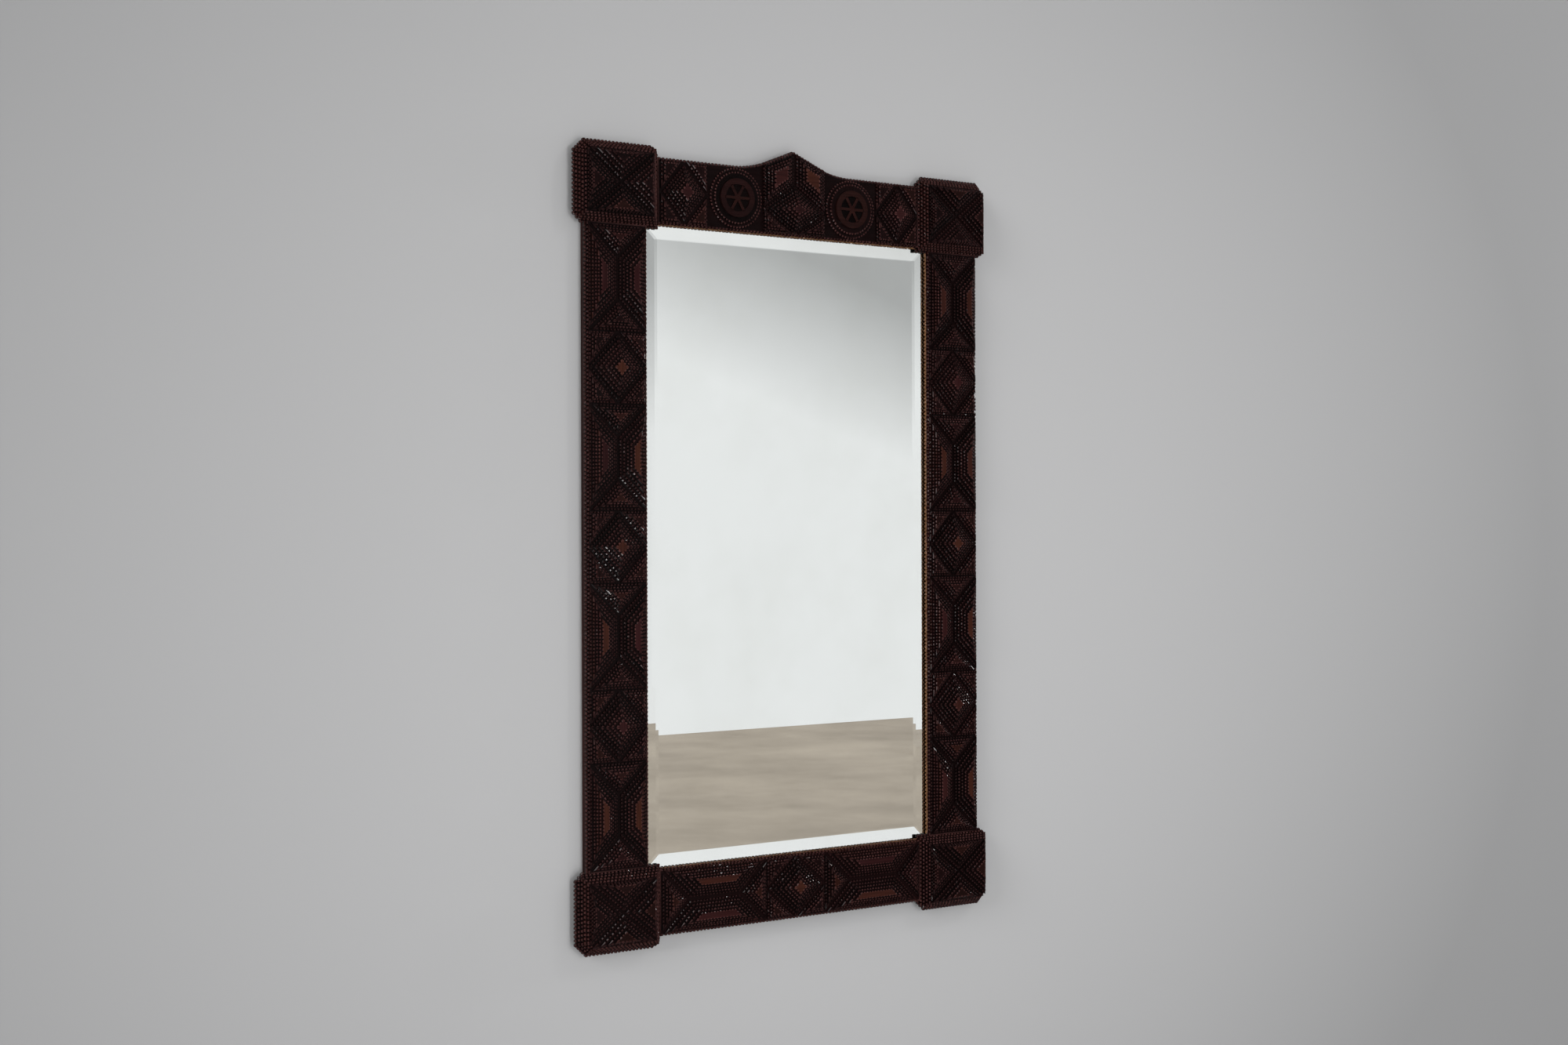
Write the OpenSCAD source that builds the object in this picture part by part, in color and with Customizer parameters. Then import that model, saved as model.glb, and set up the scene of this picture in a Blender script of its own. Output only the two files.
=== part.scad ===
// Wall-hung tramp art mirror frame: stacked, stepped layers of thin wood glued on
// notched strips over a half-lapped board carcass, round a bevelled mirror plate.
// X runs to the right, Z up, and the front faces -Y. The wall is the plane y = 0.
// The origin lies on the wall, behind the middle of the opening.

/* [Opening] */
// Width of the opening between the stiles
sight_w = 500; // [460:1:640]
// Height of the opening between the rails
sight_h = 934; // [840:1:1100]

/* [Carcass boards] */
// Thickness of the boards behind the carved work
board_t = 12; // [11:0.5:18]
// How far the outer board edges lie behind the edges of the lower strips
board_setback = 2; // [1:0.5:4]
// How far the lower strips reach over the pocket of the mirror plate
glass_lap = 8; // [6:0.5:12]

/* [Notched strips] */
// Width of the lower strip on stiles and rails
strip_w = 100; // [96:1:112]
// Thickness of one strip, and of one layer of a corner block
strip_t = 4; // [3:0.5:7]
// Step from the edge of one strip to the edge of the next layer
strip_step = 2; // [1.5:0.25:4]

/* [Crest] */
// Height of the peak above the top rail
crest_h = 31; // [24:1:44]
// Distance from the peak to where its straight slope would meet the rail
crest_half_w = 74; // [64:1:90]
// Radius of the hollow sweep between the slope and the rail
crest_sweep_r = 150; // [90:5:220]

/* [Corner blocks] */
// Reach of a block past the outer side of the stile
block_over_x = 18; // [10:1:26]
// Reach of a block past the top or bottom of the rail
block_over_z = 15.5; // [10:0.5:24]
// Reach of a block into the width of the opening
block_reach_x = 19; // [12:1:26]
// Reach of a block into the height of the opening
block_reach_z = 5.5; // [3:0.5:10]
// Layers in a block
block_layers = 5; // [3:1:6]
// Step from one layer of a block to the next
block_step = 3; // [2.4:0.1:4.2]
// Length cut from the outer corner of a block, along each side
block_clip = 17; // [14:1:26]
// Length cut from the two side corners of the lowest layer
side_clip = 12; // [8:1:16]
// Lowest layers of a block whose side corners are cut
side_clip_layers = 2; // [1:1:3]
// Layers in each triangle of the cross on a block
cross_layers = 4; // [2:1:5]
// Step of a cross along its grooves
cross_step_in = 5.6; // [3.6:0.1:6]
// Step of a cross on its outer sides
cross_step_out = 1.6; // [1:0.1:4]
// Width of the groove along the arms of the cross
cross_groove = 4; // [2:0.5:6]

/* [Carved panels] */
// Thickness of one layer of a panel
layer_t = 2.6; // [1.6:0.2:4]
// Groove between neighbouring panels
seam = 2; // [1:0.5:4]
// Groove between the stacks within a panel
valley = 5; // [3:0.5:7]
// Length of a diamond panel along its stile or rail
diamond_l = 104; // [94:1:116]
// Gap from the end of a diamond panel to the tip of its diamond
diamond_tip_gap = 3.5; // [2:0.5:6]
// Layers in a diamond
diamond_layers = 6; // [3:1:6]
// Step from one layer of a diamond to the next
diamond_step = 5; // [3:0.1:5.6]
// Layers in the triangles at the corners of a diamond panel
corner_layers = 3; // [2:1:4]
// Step from one layer of a corner triangle to the next
corner_step = 3.6; // [2.4:0.1:3.8]
// Layers in the two long stacks of an hourglass panel
roof_layers = 5; // [3:1:5]
// Step of a long stack on its outer side
roof_step_out = 3.7; // [2.4:0.1:4.2]
// Step of a long stack towards the middle groove
roof_step_in = 4.4; // [2.8:0.1:4.8]
// Step of a long stack at its slanting ends
roof_step_end = 5.5; // [3.6:0.1:6]
// Layers in the two end triangles of an hourglass panel
gable_layers = 4; // [2:1:5]
// Step from one layer of an end triangle to the next
gable_step = 3.9; // [2.6:0.1:4.2]

/* [Top rail] */
// Width of the panel under the peak
crest_panel_w = 110; // [90:1:124]
// Half-height of the diamond under the peak
crest_diamond_half = 36; // [30:1:40]
// Step from one layer of the diamond under the peak to the next
crest_diamond_step = 4.5; // [3:0.1:4.9]
// Layers in the two slabs under the slopes
slab_layers = 4; // [2:1:5]
// Step from one layer of a slab to the next
slab_step = 4.4; // [2.8:0.1:5]
// Width of the space for a wheel
wheel_cell_w = 95; // [92:1:104]
// Margin round the lowest disc of a wheel
wheel_margin = 1; // [0:0.5:4]
// Step from the lowest disc of a wheel to the second
wheel_step = 6; // [4:0.5:8]
// Outer radius of the plain ring
ring_r = 29; // [25:0.5:32]
// Inner radius of the plain ring
ring_in_r = 20.3; // [16:0.1:23]
// Spokes within the ring
spoke_count = 6; // [4:1:8]
// Width of a spoke
spoke_w = 4; // [3:0.5:6]
// Radius of the hub
hub_r = 5; // [4:0.5:8]
// Gap from the tips of a small diamond to the edge of its space
small_tip_gap = 5; // [3:0.5:8]
// Layers in a small diamond
small_diamond_layers = 5; // [3:1:6]
// Step from one layer of a small diamond to the next
small_diamond_step = 4.4; // [3:0.1:4.8]

/* [Mirror plate] */
// Thickness of the plate
glass_t = 6.5; // [5.5:0.1:8]
// Thickness left at the edge of the bevel
glass_edge_t = 4.2; // [3:0.1:5]
// Width of the bevel
bevel_w = 26; // [16:1:40]
// Clearance round the plate in its pocket
glass_clear = 0.8; // [0.4:0.1:2]

/* [Back panel] */
// How far the planks lap onto the boards
back_lap = 14; // [10:1:20]
// Planks across the back
plank_count = 5; // [3:2:9]
// Gap between planks
plank_gap = 1; // [0.5:0.5:3]
// Clearance between the planks and the edge of their rebate
back_clear = 0.5; // [0.2:0.1:1.5]

/* [Nails and screws] */
// Diameter of a nail in the corner joints
joint_nail_d = 2.4; // [1.8:0.1:3]
// Diameter of a nail in the back planks
back_nail_d = 1.6; // [1.2:0.1:2.2]
// Diameter of a nail head, in nail diameters
nail_head_ratio = 2.2; // [1.6:0.1:2.6]
// Thickness of a nail head
nail_head_t = 0.8; // [0.5:0.1:1.5]
// Wood left in front of a nail or screw point
point_cover = 1.5; // [1:0.25:3]
// Distance of the joint nails from the middle of the joint
joint_nail_offset = 24; // [16:1:30]
// Distance of the back nails from the ends of a plank
back_nail_edge = 30; // [16:1:50]
// Diameter of a hanger screw
screw_d = 3.5; // [2.5:0.1:4]
// Diameter of a hanger screw head
screw_head_d = 6.5; // [5:0.1:8]

/* [Hangers] */
// Distance of the keyholes below the top of the stile boards
hanger_drop = 175; // [150:1:260]
// Width of a hanger plate
hanger_w = 24; // [20:1:30]
// Length of a hanger plate
hanger_l = 64; // [56:1:80]
// Thickness of a hanger plate
hanger_t = 2; // [1.5:0.25:3]
// Radius of the keyhole
keyhole_r = 5; // [4:0.25:6]
// Width of the slot above the keyhole
keyslot_w = 4.6; // [3.5:0.1:6]
// Length of the slot above the keyhole
keyslot_l = 12; // [9:0.5:15]
// Distance from a screw to the end of its plate
hanger_screw_edge = 8; // [6:0.5:10]
// Wood left in front of the pocket behind a keyhole
pocket_cover = 3; // [2:0.5:5]
// Clearance round the screw that hangs in the slot
pocket_clear = 2; // [1:0.5:3]

/* [Hidden] */
$fn = 64;
STILE_HOURGLASSES = 4;
STILE_DIAMONDS = 3;
CORNERS = ["top_left", "top_right", "bottom_left", "bottom_right"];
SIDES = ["left", "right"];
// Cutters start this far outside the face that they cut
CUT = 1;

WOOD_DARK = "#3a1d17";
WOOD_EDGE = "#4a241a";
WOOD_RED = "#5a2a1e";
PINE = "#b08a5a";
IRON = "#4a4a4c";
SILVER = "#c9d3d6";

// Outer edges of the strips, edges of the carcass boards and of the glass pocket
strip_out_x = sight_w / 2 + strip_w;
strip_out_z = sight_h / 2 + strip_w;
board_out_x = strip_out_x - board_setback;
board_out_z = strip_out_z - board_setback;
board_in_x = sight_w / 2 + glass_lap;
board_in_z = sight_h / 2 + glass_lap;
half_lap_t = board_t / 2;

// Mirror plate: its bevel touches the corner blocks where they reach into the opening
glass_half_x = board_in_x - glass_clear;
glass_half_z = board_in_z - glass_clear;
bevel_rise = glass_t - glass_edge_t;
glass_seat_l = glass_lap - glass_clear + min(block_reach_x, block_reach_z);
glass_seat_t = glass_edge_t + bevel_rise * min(1, glass_seat_l / bevel_w);
back_t = board_t - glass_seat_t;
pocket_x = board_in_x + back_lap;
pocket_z = board_in_z + back_lap;
plank_pitch = (2 * pocket_z - 2 * back_clear + plank_gap) / plank_count;

// Corner blocks
block_in_x = sight_w / 2 - block_reach_x;
block_out_x = strip_out_x + block_over_x;
block_in_z = sight_h / 2 - block_reach_z;
block_out_z = strip_out_z + block_over_z;
cross_inset = block_layers * block_step;
cross_d = board_t + block_layers * strip_t;
cross_x = [block_in_x + cross_inset, block_out_x - cross_inset];
cross_z = [block_in_z + cross_inset, block_out_z - cross_inset];

// Panels stand on the upper strips
panel_d = board_t + 2 * strip_t;
corner_gap = 0.75 * valley;
panel_half_w = strip_w / 2 - 2 * strip_step;
stile_x = sight_w / 2 + strip_w / 2;
rail_z = sight_h / 2 + strip_w / 2;
stile_hourglass_l = (2 * block_in_z - STILE_DIAMONDS * diamond_l) / STILE_HOURGLASSES;
rail_hourglass_l = block_in_x - diamond_l / 2;
wheel_x = crest_panel_w / 2 + wheel_cell_w / 2;
wheel_r = panel_half_w - wheel_margin;
wheel_mid_r = wheel_r - wheel_step;
small_cell_w = block_in_x - crest_panel_w / 2 - wheel_cell_w;
small_diamond_x = block_in_x - small_cell_w / 2;

// Crest outline, measured from the top of the top rail
crest_slope = atan(crest_h / crest_half_w);
crest_foot_x = crest_half_w + crest_sweep_r * tan(crest_slope / 2);

// Hanger plates
hanger_x = (board_in_x + board_out_x) / 2;
hanger_z = board_out_z - hanger_drop;
hanger_top_z = hanger_z + hanger_l / 2;
pocket_d = board_t - pocket_cover;

NODES = concat(
    [for (side = SIDES) str(side, "_stile_board")],
    ["top_rail_board", "bottom_rail_board", "corner_joint_nails"],
    [for (level = ["lower", "upper"]) for (side = ["left", "right", "top", "bottom"])
        str(level, "_strip_", side)],
    [for (side = SIDES) for (i = [1 : STILE_HOURGLASSES]) str(side, "_hourglass_", i)],
    [for (side = SIDES) for (i = [1 : STILE_DIAMONDS]) str(side, "_diamond_", i)],
    [for (side = SIDES) str("bottom_hourglass_", side)],
    ["bottom_diamond", "crest_panel"],
    [for (side = SIDES) str("top_wheel_", side)],
    [for (side = SIDES) str("top_diamond_", side)],
    [for (corner = CORNERS) str("corner_block_", corner)],
    [for (corner = CORNERS) str("corner_cross_", corner)],
    ["mirror_plate"],
    [for (i = [1 : plank_count]) str("back_plank_", i)],
    ["back_panel_nails"],
    [for (side = SIDES) str("hanger_plate_", side)],
    ["hanger_screws"]
);
node = "all";

// A point is moved in by a_d from the edge that arrives and by b_d from the edge that leaves
function inner_corner(before, point, after, a_d, b_d) =
    let (
        a = (point - before) / norm(point - before),
        b = (after - point) / norm(after - point),
        turn = a[0] * b[1] - a[1] * b[0]
    )
    point + (b * a_d - a * b_d) / turn;

// A convex outline, listed counter-clockwise, with each edge moved in by its own distance
function inset(points, distances) =
    let (n = len(points))
    [for (i = [0 : n - 1]) inner_corner(
        points[(i + n - 1) % n], points[i], points[(i + 1) % n],
        distances[(i + n - 1) % n], distances[i])];

function side_sign(side) = side == "left" ? -1 : 1;

// A flat piece: an outline in X and Z, from d to d + t in front of the wall
module slab(d, t) {
    translate([0, -d, 0])
        rotate([90, 0, 0])
            linear_extrude(height = t)
                children();
}

// A box given by its ranges in X and Z, from d to d + t in front of the wall
module slab_box(x, z, d, t) {
    translate([x[0], -d - t, z[0]])
        cube([x[1] - x[0], t, z[1] - z[0]]);
}

// Stepped layers, each set in from the one below by its steps
module stack(points, steps, layers, d, t) {
    for (k = [0 : layers - 1])
        slab(d + k * t, t)
            polygon(inset(points, steps * k));
}

// Four copies of a piece made in the corner where X and Z are positive
module at_corner(corner) {
    flip_x = corner == "top_left" || corner == "bottom_left" ? 1 : 0;
    flip_z = corner == "bottom_left" || corner == "bottom_right" ? 1 : 0;
    mirror([flip_x, 0, 0])
        mirror([0, 0, flip_z])
            children();
}

module at_side(side) {
    mirror([side == "left" ? 1 : 0, 0, 0])
        children();
}

// Carcass

// The space that the back planks lie in
module back_rebate() {
    slab_box([-pocket_x, pocket_x], [-pocket_z, pocket_z], -CUT, back_t + CUT);
}

function joint_nail_places() =
    let (x = (board_in_x + board_out_x) / 2, z = (board_in_z + board_out_z) / 2)
    [for (sx = [-1, 1]) for (sz = [-1, 1]) for (s = [-1, 1])
        [sx * (x + s * joint_nail_offset), sz * (z + s * joint_nail_offset)]];

function back_nail_places() =
    let (x = board_in_x + back_lap / 2)
    [for (i = [0 : plank_count - 1]) for (sx = [-1, 1]) for (z = [
        plank_low(i) + back_nail_edge, plank_high(i) - back_nail_edge]) [sx * x, z]];

// A nail driven from the back, with its head flush
module nail(place, d, point_d) {
    translate([place[0], 0, place[1]])
        rotate([90, 0, 0]) {
            cylinder(d = d, h = point_d);
            cylinder(d = d * nail_head_ratio, h = nail_head_t);
        }
}

module joint_nails() {
    for (place = joint_nail_places())
        nail(place, joint_nail_d, board_t - point_cover);
}

module back_nails() {
    for (place = back_nail_places())
        nail(place, back_nail_d, board_t - point_cover);
}

module stile_board(side) {
    color(WOOD_DARK)
        difference() {
            at_side(side)
                slab_box([board_in_x, board_out_x], [-board_out_z, board_out_z], 0, board_t);
            for (s = [-1, 1])
                slab_box(
                    [-board_out_x - CUT, board_out_x + CUT],
                    s > 0 ? [board_in_z, board_out_z + CUT] : [-board_out_z - CUT, -board_in_z],
                    -CUT, half_lap_t + CUT);
            back_rebate();
            joint_nails();
            back_nails();
            at_side(side)
                hanger_pocket();
            hanger_screws_shape();
        }
}

// The outline of the top rail, set in by i along its upper edge
module crest_outline(half_l, z_low, i, d, t) {
    far_r = crest_sweep_r + i;
    sweep_end = [crest_foot_x - far_r * sin(crest_slope),
        strip_out_z + crest_sweep_r - far_r * cos(crest_slope)];
    peak_z = strip_out_z + crest_h - i / cos(crest_slope);
    edge_z = strip_out_z - i;
    difference() {
        slab(d, t)
            polygon([
                [-half_l, z_low], [half_l, z_low], [half_l, edge_z], [crest_foot_x, edge_z],
                sweep_end, [0, peak_z], [-sweep_end[0], sweep_end[1]],
                [-crest_foot_x, edge_z], [-half_l, edge_z]]);
        for (s = [-1, 1])
            translate([s * crest_foot_x, CUT - d, strip_out_z + crest_sweep_r])
                rotate([90, 0, 0])
                    cylinder(r = far_r, h = t + 2 * CUT, $fn = 180);
    }
}

// Both rail boards give up their front half at the corner joints
module rail_lap_cuts() {
    for (s = [-1, 1])
        slab_box(
            s > 0 ? [board_in_x, board_out_x + CUT] : [-board_out_x - CUT, -board_in_x],
            [-board_out_z - CUT, board_out_z + CUT],
            half_lap_t, board_t);
    back_rebate();
    joint_nails();
    back_nails();
}

module top_rail_board() {
    color(WOOD_DARK)
        difference() {
            crest_outline(board_out_x, board_in_z, board_setback, 0, board_t);
            rail_lap_cuts();
        }
}

module bottom_rail_board() {
    color(WOOD_DARK)
        difference() {
            slab_box([-board_out_x, board_out_x], [-board_out_z, -board_in_z], 0, board_t);
            rail_lap_cuts();
        }
}

module corner_joint_nails() {
    color(IRON)
        joint_nails();
}

// Notched strips: level 0 lies on the boards and level 1 on the strip below

module strip(level, place) {
    step = level * strip_step;
    d = board_t + level * strip_t;
    inner_x = sight_w / 2 + step;
    outer_x = strip_out_x - step;
    end_x = block_in_x + level * block_step;
    end_z = block_in_z + level * block_step;
    rail_low = sight_h / 2 + step;
    color(level == 0 ? WOOD_EDGE : WOOD_DARK) {
        if (place == "left" || place == "right")
            at_side(place)
                slab_box([inner_x, outer_x], [-end_z, end_z], d, strip_t);
        if (place == "top")
            crest_outline(end_x, rail_low, step, d, strip_t);
        if (place == "bottom")
            slab_box([-end_x, end_x], [-strip_out_z + step, -rail_low], d, strip_t);
    }
}

// Panels, drawn with their length along Z and their middle at the origin

module long_stacks(half_l) {
    apex = half_l - panel_half_w;
    end_gap = valley / 2;
    outline = inset(
        [[0, -apex], [panel_half_w, -half_l], [panel_half_w, half_l], [0, apex]],
        [end_gap, 0, end_gap, valley / 2]);
    steps = [roof_step_end, roof_step_out, roof_step_end, roof_step_in];
    for (turn = [0, 180])
        rotate([0, turn, 0])
            stack(outline, steps, roof_layers, panel_d, layer_t);
}

module end_triangles(half_l) {
    outline = inset(
        [[-panel_half_w, half_l], [0, half_l - panel_half_w], [panel_half_w, half_l]],
        [valley / 2, valley / 2, seam / 2]);
    for (z_sign = [1, -1])
        mirror([0, 0, z_sign > 0 ? 0 : 1])
            stack(outline, gable_step * [1, 1, 1], gable_layers, panel_d, layer_t);
}

module hourglass(length) {
    long_stacks(length / 2);
    end_triangles(length / 2);
}

function diamond_points(half_x, half_z) = [[half_x, 0], [0, half_z], [-half_x, 0], [0, -half_z]];

// The triangle left between a diamond and one corner of its panel
function corner_points(edge_x, edge_z) =
    [[edge_x, corner_gap], [edge_x, edge_z], [corner_gap, edge_z]];

module corner_triangle(edge_x, edge_z, layers, d) {
    stack(corner_points(edge_x, edge_z), corner_step * [1, 1, 1], layers, d, layer_t);
}

module diamond_panel() {
    half_z = diamond_l / 2 - diamond_tip_gap;
    stack(diamond_points(panel_half_w, half_z), diamond_step * [1, 1, 1, 1],
        diamond_layers, panel_d, layer_t);
    for (corner = CORNERS)
        at_corner(corner)
            corner_triangle(panel_half_w, diamond_l / 2 - seam / 2, corner_layers, panel_d);
}

function stile_pitch() = stile_hourglass_l + diamond_l;

module stile_hourglass(side, i) {
    z = block_in_z - stile_hourglass_l / 2 - (i - 1) * stile_pitch();
    color(WOOD_RED)
        translate([side_sign(side) * stile_x, 0, z])
            hourglass(stile_hourglass_l);
}

module stile_diamond(side, i) {
    z = block_in_z - stile_hourglass_l - diamond_l / 2 - (i - 1) * stile_pitch();
    color(WOOD_DARK)
        translate([side_sign(side) * stile_x, 0, z])
            diamond_panel();
}

module bottom_hourglass(side) {
    x = diamond_l / 2 + rail_hourglass_l / 2;
    color(WOOD_RED)
        translate([side_sign(side) * x, 0, -rail_z])
            rotate([0, 90, 0])
                hourglass(rail_hourglass_l);
}

module bottom_diamond() {
    color(WOOD_DARK)
        translate([0, 0, -rail_z])
            rotate([0, 90, 0])
                diamond_panel();
}

// Top rail

module top_wheel(side) {
    color(WOOD_DARK)
        translate([side_sign(side) * wheel_x, -panel_d, rail_z])
            rotate([90, 0, 0]) {
                cylinder(r = wheel_r, h = layer_t, $fn = 120);
                translate([0, 0, layer_t])
                    cylinder(r = wheel_mid_r, h = layer_t, $fn = 120);
                translate([0, 0, 2 * layer_t])
                    difference() {
                        cylinder(r = ring_r, h = layer_t, $fn = 120);
                        translate([0, 0, layer_t / 2])
                            wheel_openings();
                    }
            }
}

// The wedges between the spokes, cut into the face of the ring
module wheel_openings() {
    difference() {
        cylinder(r = ring_in_r, h = layer_t, $fn = 120);
        translate([0, 0, -CUT])
            cylinder(r = hub_r, h = layer_t + 2 * CUT);
        for (i = [0 : spoke_count - 1])
            rotate([0, 0, i * 360 / spoke_count])
                translate([0, -spoke_w / 2, -CUT])
                    cube([ring_in_r + CUT, spoke_w, layer_t + 2 * CUT]);
    }
}

module top_diamond(side) {
    half_x = small_cell_w / 2 - small_tip_gap;
    half_z = panel_half_w - small_tip_gap;
    color(WOOD_DARK)
        translate([side_sign(side) * small_diamond_x, 0, rail_z]) {
            stack(diamond_points(half_x, half_z), small_diamond_step * [1, 1, 1, 1],
                small_diamond_layers, panel_d, layer_t);
            for (corner = CORNERS)
                at_corner(corner)
                    corner_triangle(small_cell_w / 2 - seam, panel_half_w,
                        corner_layers - 1, panel_d);
        }
}

module crest_panel() {
    low_z = rail_z - panel_half_w;
    half_x = crest_panel_w / 2 - seam / 2;
    diamond_z = low_z + crest_diamond_half;
    slope = tan(crest_slope);
    edge_drop = 2 * strip_step / cos(crest_slope);
    top_z = strip_out_z + crest_h - edge_drop;
    stack_d = panel_d + layer_t;
    away = 1 + valley / 2 * norm([1 / half_x, 1 / crest_diamond_half]);
    slab_x = valley / 2;
    slab_points = [
        [half_x, diamond_z + crest_diamond_half * (away - 1)],
        [half_x, top_z - half_x * slope],
        [slab_x, top_z - slab_x * slope],
        [slab_x, diamond_z + crest_diamond_half * (away - slab_x / half_x)]];
    color(WOOD_RED) {
        intersection() {
            crest_outline(block_in_x, low_z, strip_step, panel_d, layer_t);
            slab_box([-half_x, half_x], [low_z, strip_out_z + crest_h], panel_d, layer_t);
        }
        translate([0, 0, diamond_z])
            stack(diamond_points(half_x, crest_diamond_half), crest_diamond_step * [1, 1, 1, 1],
                diamond_layers, stack_d, layer_t);
        for (side = SIDES)
            at_side(side) {
                stack(slab_points, slab_step * [1, 1, 1, 1], slab_layers, stack_d, layer_t);
                translate([0, 0, diamond_z])
                    mirror([0, 0, 1])
                        corner_triangle(half_x, crest_diamond_half, corner_layers, stack_d);
            }
    }
}

// Corner blocks

function block_points(k) =
    let (
        x0 = block_in_x + k * block_step,
        x1 = block_out_x - k * block_step,
        z0 = block_in_z + k * block_step,
        z1 = block_out_z - k * block_step,
        outer = block_clip - (2 - sqrt(2)) * k * block_step,
        side = side_clip * (1 - k / side_clip_layers)
    )
    concat(
        [[x0, z0]],
        side > 0 ? [[x1 - side, z0], [x1, z0 + side]] : [[x1, z0]],
        [[x1, z1 - outer], [x1 - outer, z1]],
        side > 0 ? [[x0 + side, z1], [x0, z1 - side]] : [[x0, z1]]);

module corner_block(corner) {
    color(WOOD_EDGE)
        at_corner(corner)
            for (k = [0 : block_layers - 1])
                slab(board_t + k * strip_t, strip_t)
                    polygon(block_points(k));
}

module corner_cross(corner) {
    low_left = [cross_x[0], cross_z[0]];
    low_right = [cross_x[1], cross_z[0]];
    high_right = [cross_x[1], cross_z[1]];
    high_left = [cross_x[0], cross_z[1]];
    middle = (low_left + high_right) / 2;
    groove = cross_groove / 2;
    color(WOOD_RED)
        at_corner(corner)
            for (base = [[low_left, low_right], [low_right, high_right],
                    [high_right, high_left], [high_left, low_left]])
                stack(inset([base[0], base[1], middle], [0, groove, groove]),
                    [cross_step_out, cross_step_in, cross_step_in], cross_layers, cross_d, layer_t);
}

// Mirror plate and back

function bevelled(half) = [
    [-half, 0], [half, 0], [half, glass_edge_t], [half - bevel_w, glass_t],
    [bevel_w - half, glass_t], [-half, glass_edge_t]];

module mirror_plate() {
    color(SILVER)
        translate([0, -back_t, 0])
            intersection() {
                translate([0, 0, -glass_half_z])
                    linear_extrude(height = 2 * glass_half_z)
                        mirror([0, 1])
                            polygon(bevelled(glass_half_x));
                translate([-glass_half_x, 0, 0])
                    rotate([90, 0, 90])
                        linear_extrude(height = 2 * glass_half_x)
                            mirror([1, 0])
                                polygon([for (p = bevelled(glass_half_z)) [p[1], p[0]]]);
            }
}

function plank_low(i) = -pocket_z + back_clear + i * plank_pitch;
function plank_high(i) = plank_low(i) + plank_pitch - plank_gap;

module back_plank(i) {
    color(PINE)
        difference() {
            slab_box([back_clear - pocket_x, pocket_x - back_clear],
                [plank_low(i - 1), plank_high(i - 1)], 0, back_t);
            back_nails();
        }
}

module back_panel_nails() {
    color(IRON)
        back_nails();
}

// Hangers: keyhole plates let in flush with the back of the stiles

module keyhole(d, t, r, slot_w) {
    translate([hanger_x, -d, hanger_z])
        rotate([90, 0, 0]) {
            cylinder(r = r, h = t);
            translate([0, keyslot_l, 0])
                cylinder(d = slot_w, h = t);
            translate([-slot_w / 2, 0, 0])
                cube([slot_w, keyslot_l, t]);
        }
}

module hanger_outline(d, t) {
    slab_box([hanger_x - hanger_w / 2, hanger_x + hanger_w / 2],
        [hanger_top_z - hanger_l, hanger_top_z], d, t);
}

// The room in the stile for the plate, and for the head of the wall screw behind it
module hanger_pocket() {
    hanger_outline(-CUT, hanger_t + CUT);
    keyhole(hanger_t - CUT, pocket_d - hanger_t + CUT,
        keyhole_r + pocket_clear, 2 * (keyhole_r + pocket_clear));
}

module hanger_plate(side) {
    color(IRON)
        at_side(side)
            difference() {
                hanger_outline(0, hanger_t);
                keyhole(-CUT, hanger_t + 2 * CUT, keyhole_r, keyslot_w);
                hanger_screws_shape();
            }
}

// Screws with countersunk heads, flush with the plate
module hanger_screws_shape() {
    for (side = SIDES)
        at_side(side)
            for (z = [hanger_top_z - hanger_screw_edge, hanger_top_z - hanger_l + hanger_screw_edge])
                translate([hanger_x, 0, z])
                    rotate([90, 0, 0]) {
                        cylinder(d1 = screw_head_d, d2 = screw_d, h = hanger_t);
                        cylinder(d = screw_d, h = board_t - point_cover);
                    }
}

module hanger_screws() {
    color(IRON)
        hanger_screws_shape();
}

function shown(name) = node == "all" || node == name;

for (side = SIDES)
    if (shown(str(side, "_stile_board"))) stile_board(side);
if (shown("top_rail_board")) top_rail_board();
if (shown("bottom_rail_board")) bottom_rail_board();
if (shown("corner_joint_nails")) corner_joint_nails();
for (place = ["left", "right", "top", "bottom"]) {
    if (shown(str("lower_strip_", place))) strip(0, place);
    if (shown(str("upper_strip_", place))) strip(1, place);
}
for (side = SIDES) {
    for (i = [1 : STILE_HOURGLASSES])
        if (shown(str(side, "_hourglass_", i))) stile_hourglass(side, i);
    for (i = [1 : STILE_DIAMONDS])
        if (shown(str(side, "_diamond_", i))) stile_diamond(side, i);
    if (shown(str("bottom_hourglass_", side))) bottom_hourglass(side);
    if (shown(str("top_wheel_", side))) top_wheel(side);
    if (shown(str("top_diamond_", side))) top_diamond(side);
    if (shown(str("hanger_plate_", side))) hanger_plate(side);
}
if (shown("bottom_diamond")) bottom_diamond();
if (shown("crest_panel")) crest_panel();
for (corner = CORNERS) {
    if (shown(str("corner_block_", corner))) corner_block(corner);
    if (shown(str("corner_cross_", corner))) corner_cross(corner);
}
if (shown("mirror_plate")) mirror_plate();
for (i = [1 : plank_count])
    if (shown(str("back_plank_", i))) back_plank(i);
if (shown("back_panel_nails")) back_panel_nails();
if (shown("hanger_screws")) hanger_screws();
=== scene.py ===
"""A wall-hung tramp art mirror frame, dressed over its packed CAD model.

X runs to the right, Z up and the front faces -Y, in metres. The wall is the plane y = 0, and d is a
distance in front of it, so y = -d. Outlines are drawn in X and Z, counter-clockwise as seen from the front.
"""

import dataclasses
import math

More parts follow.
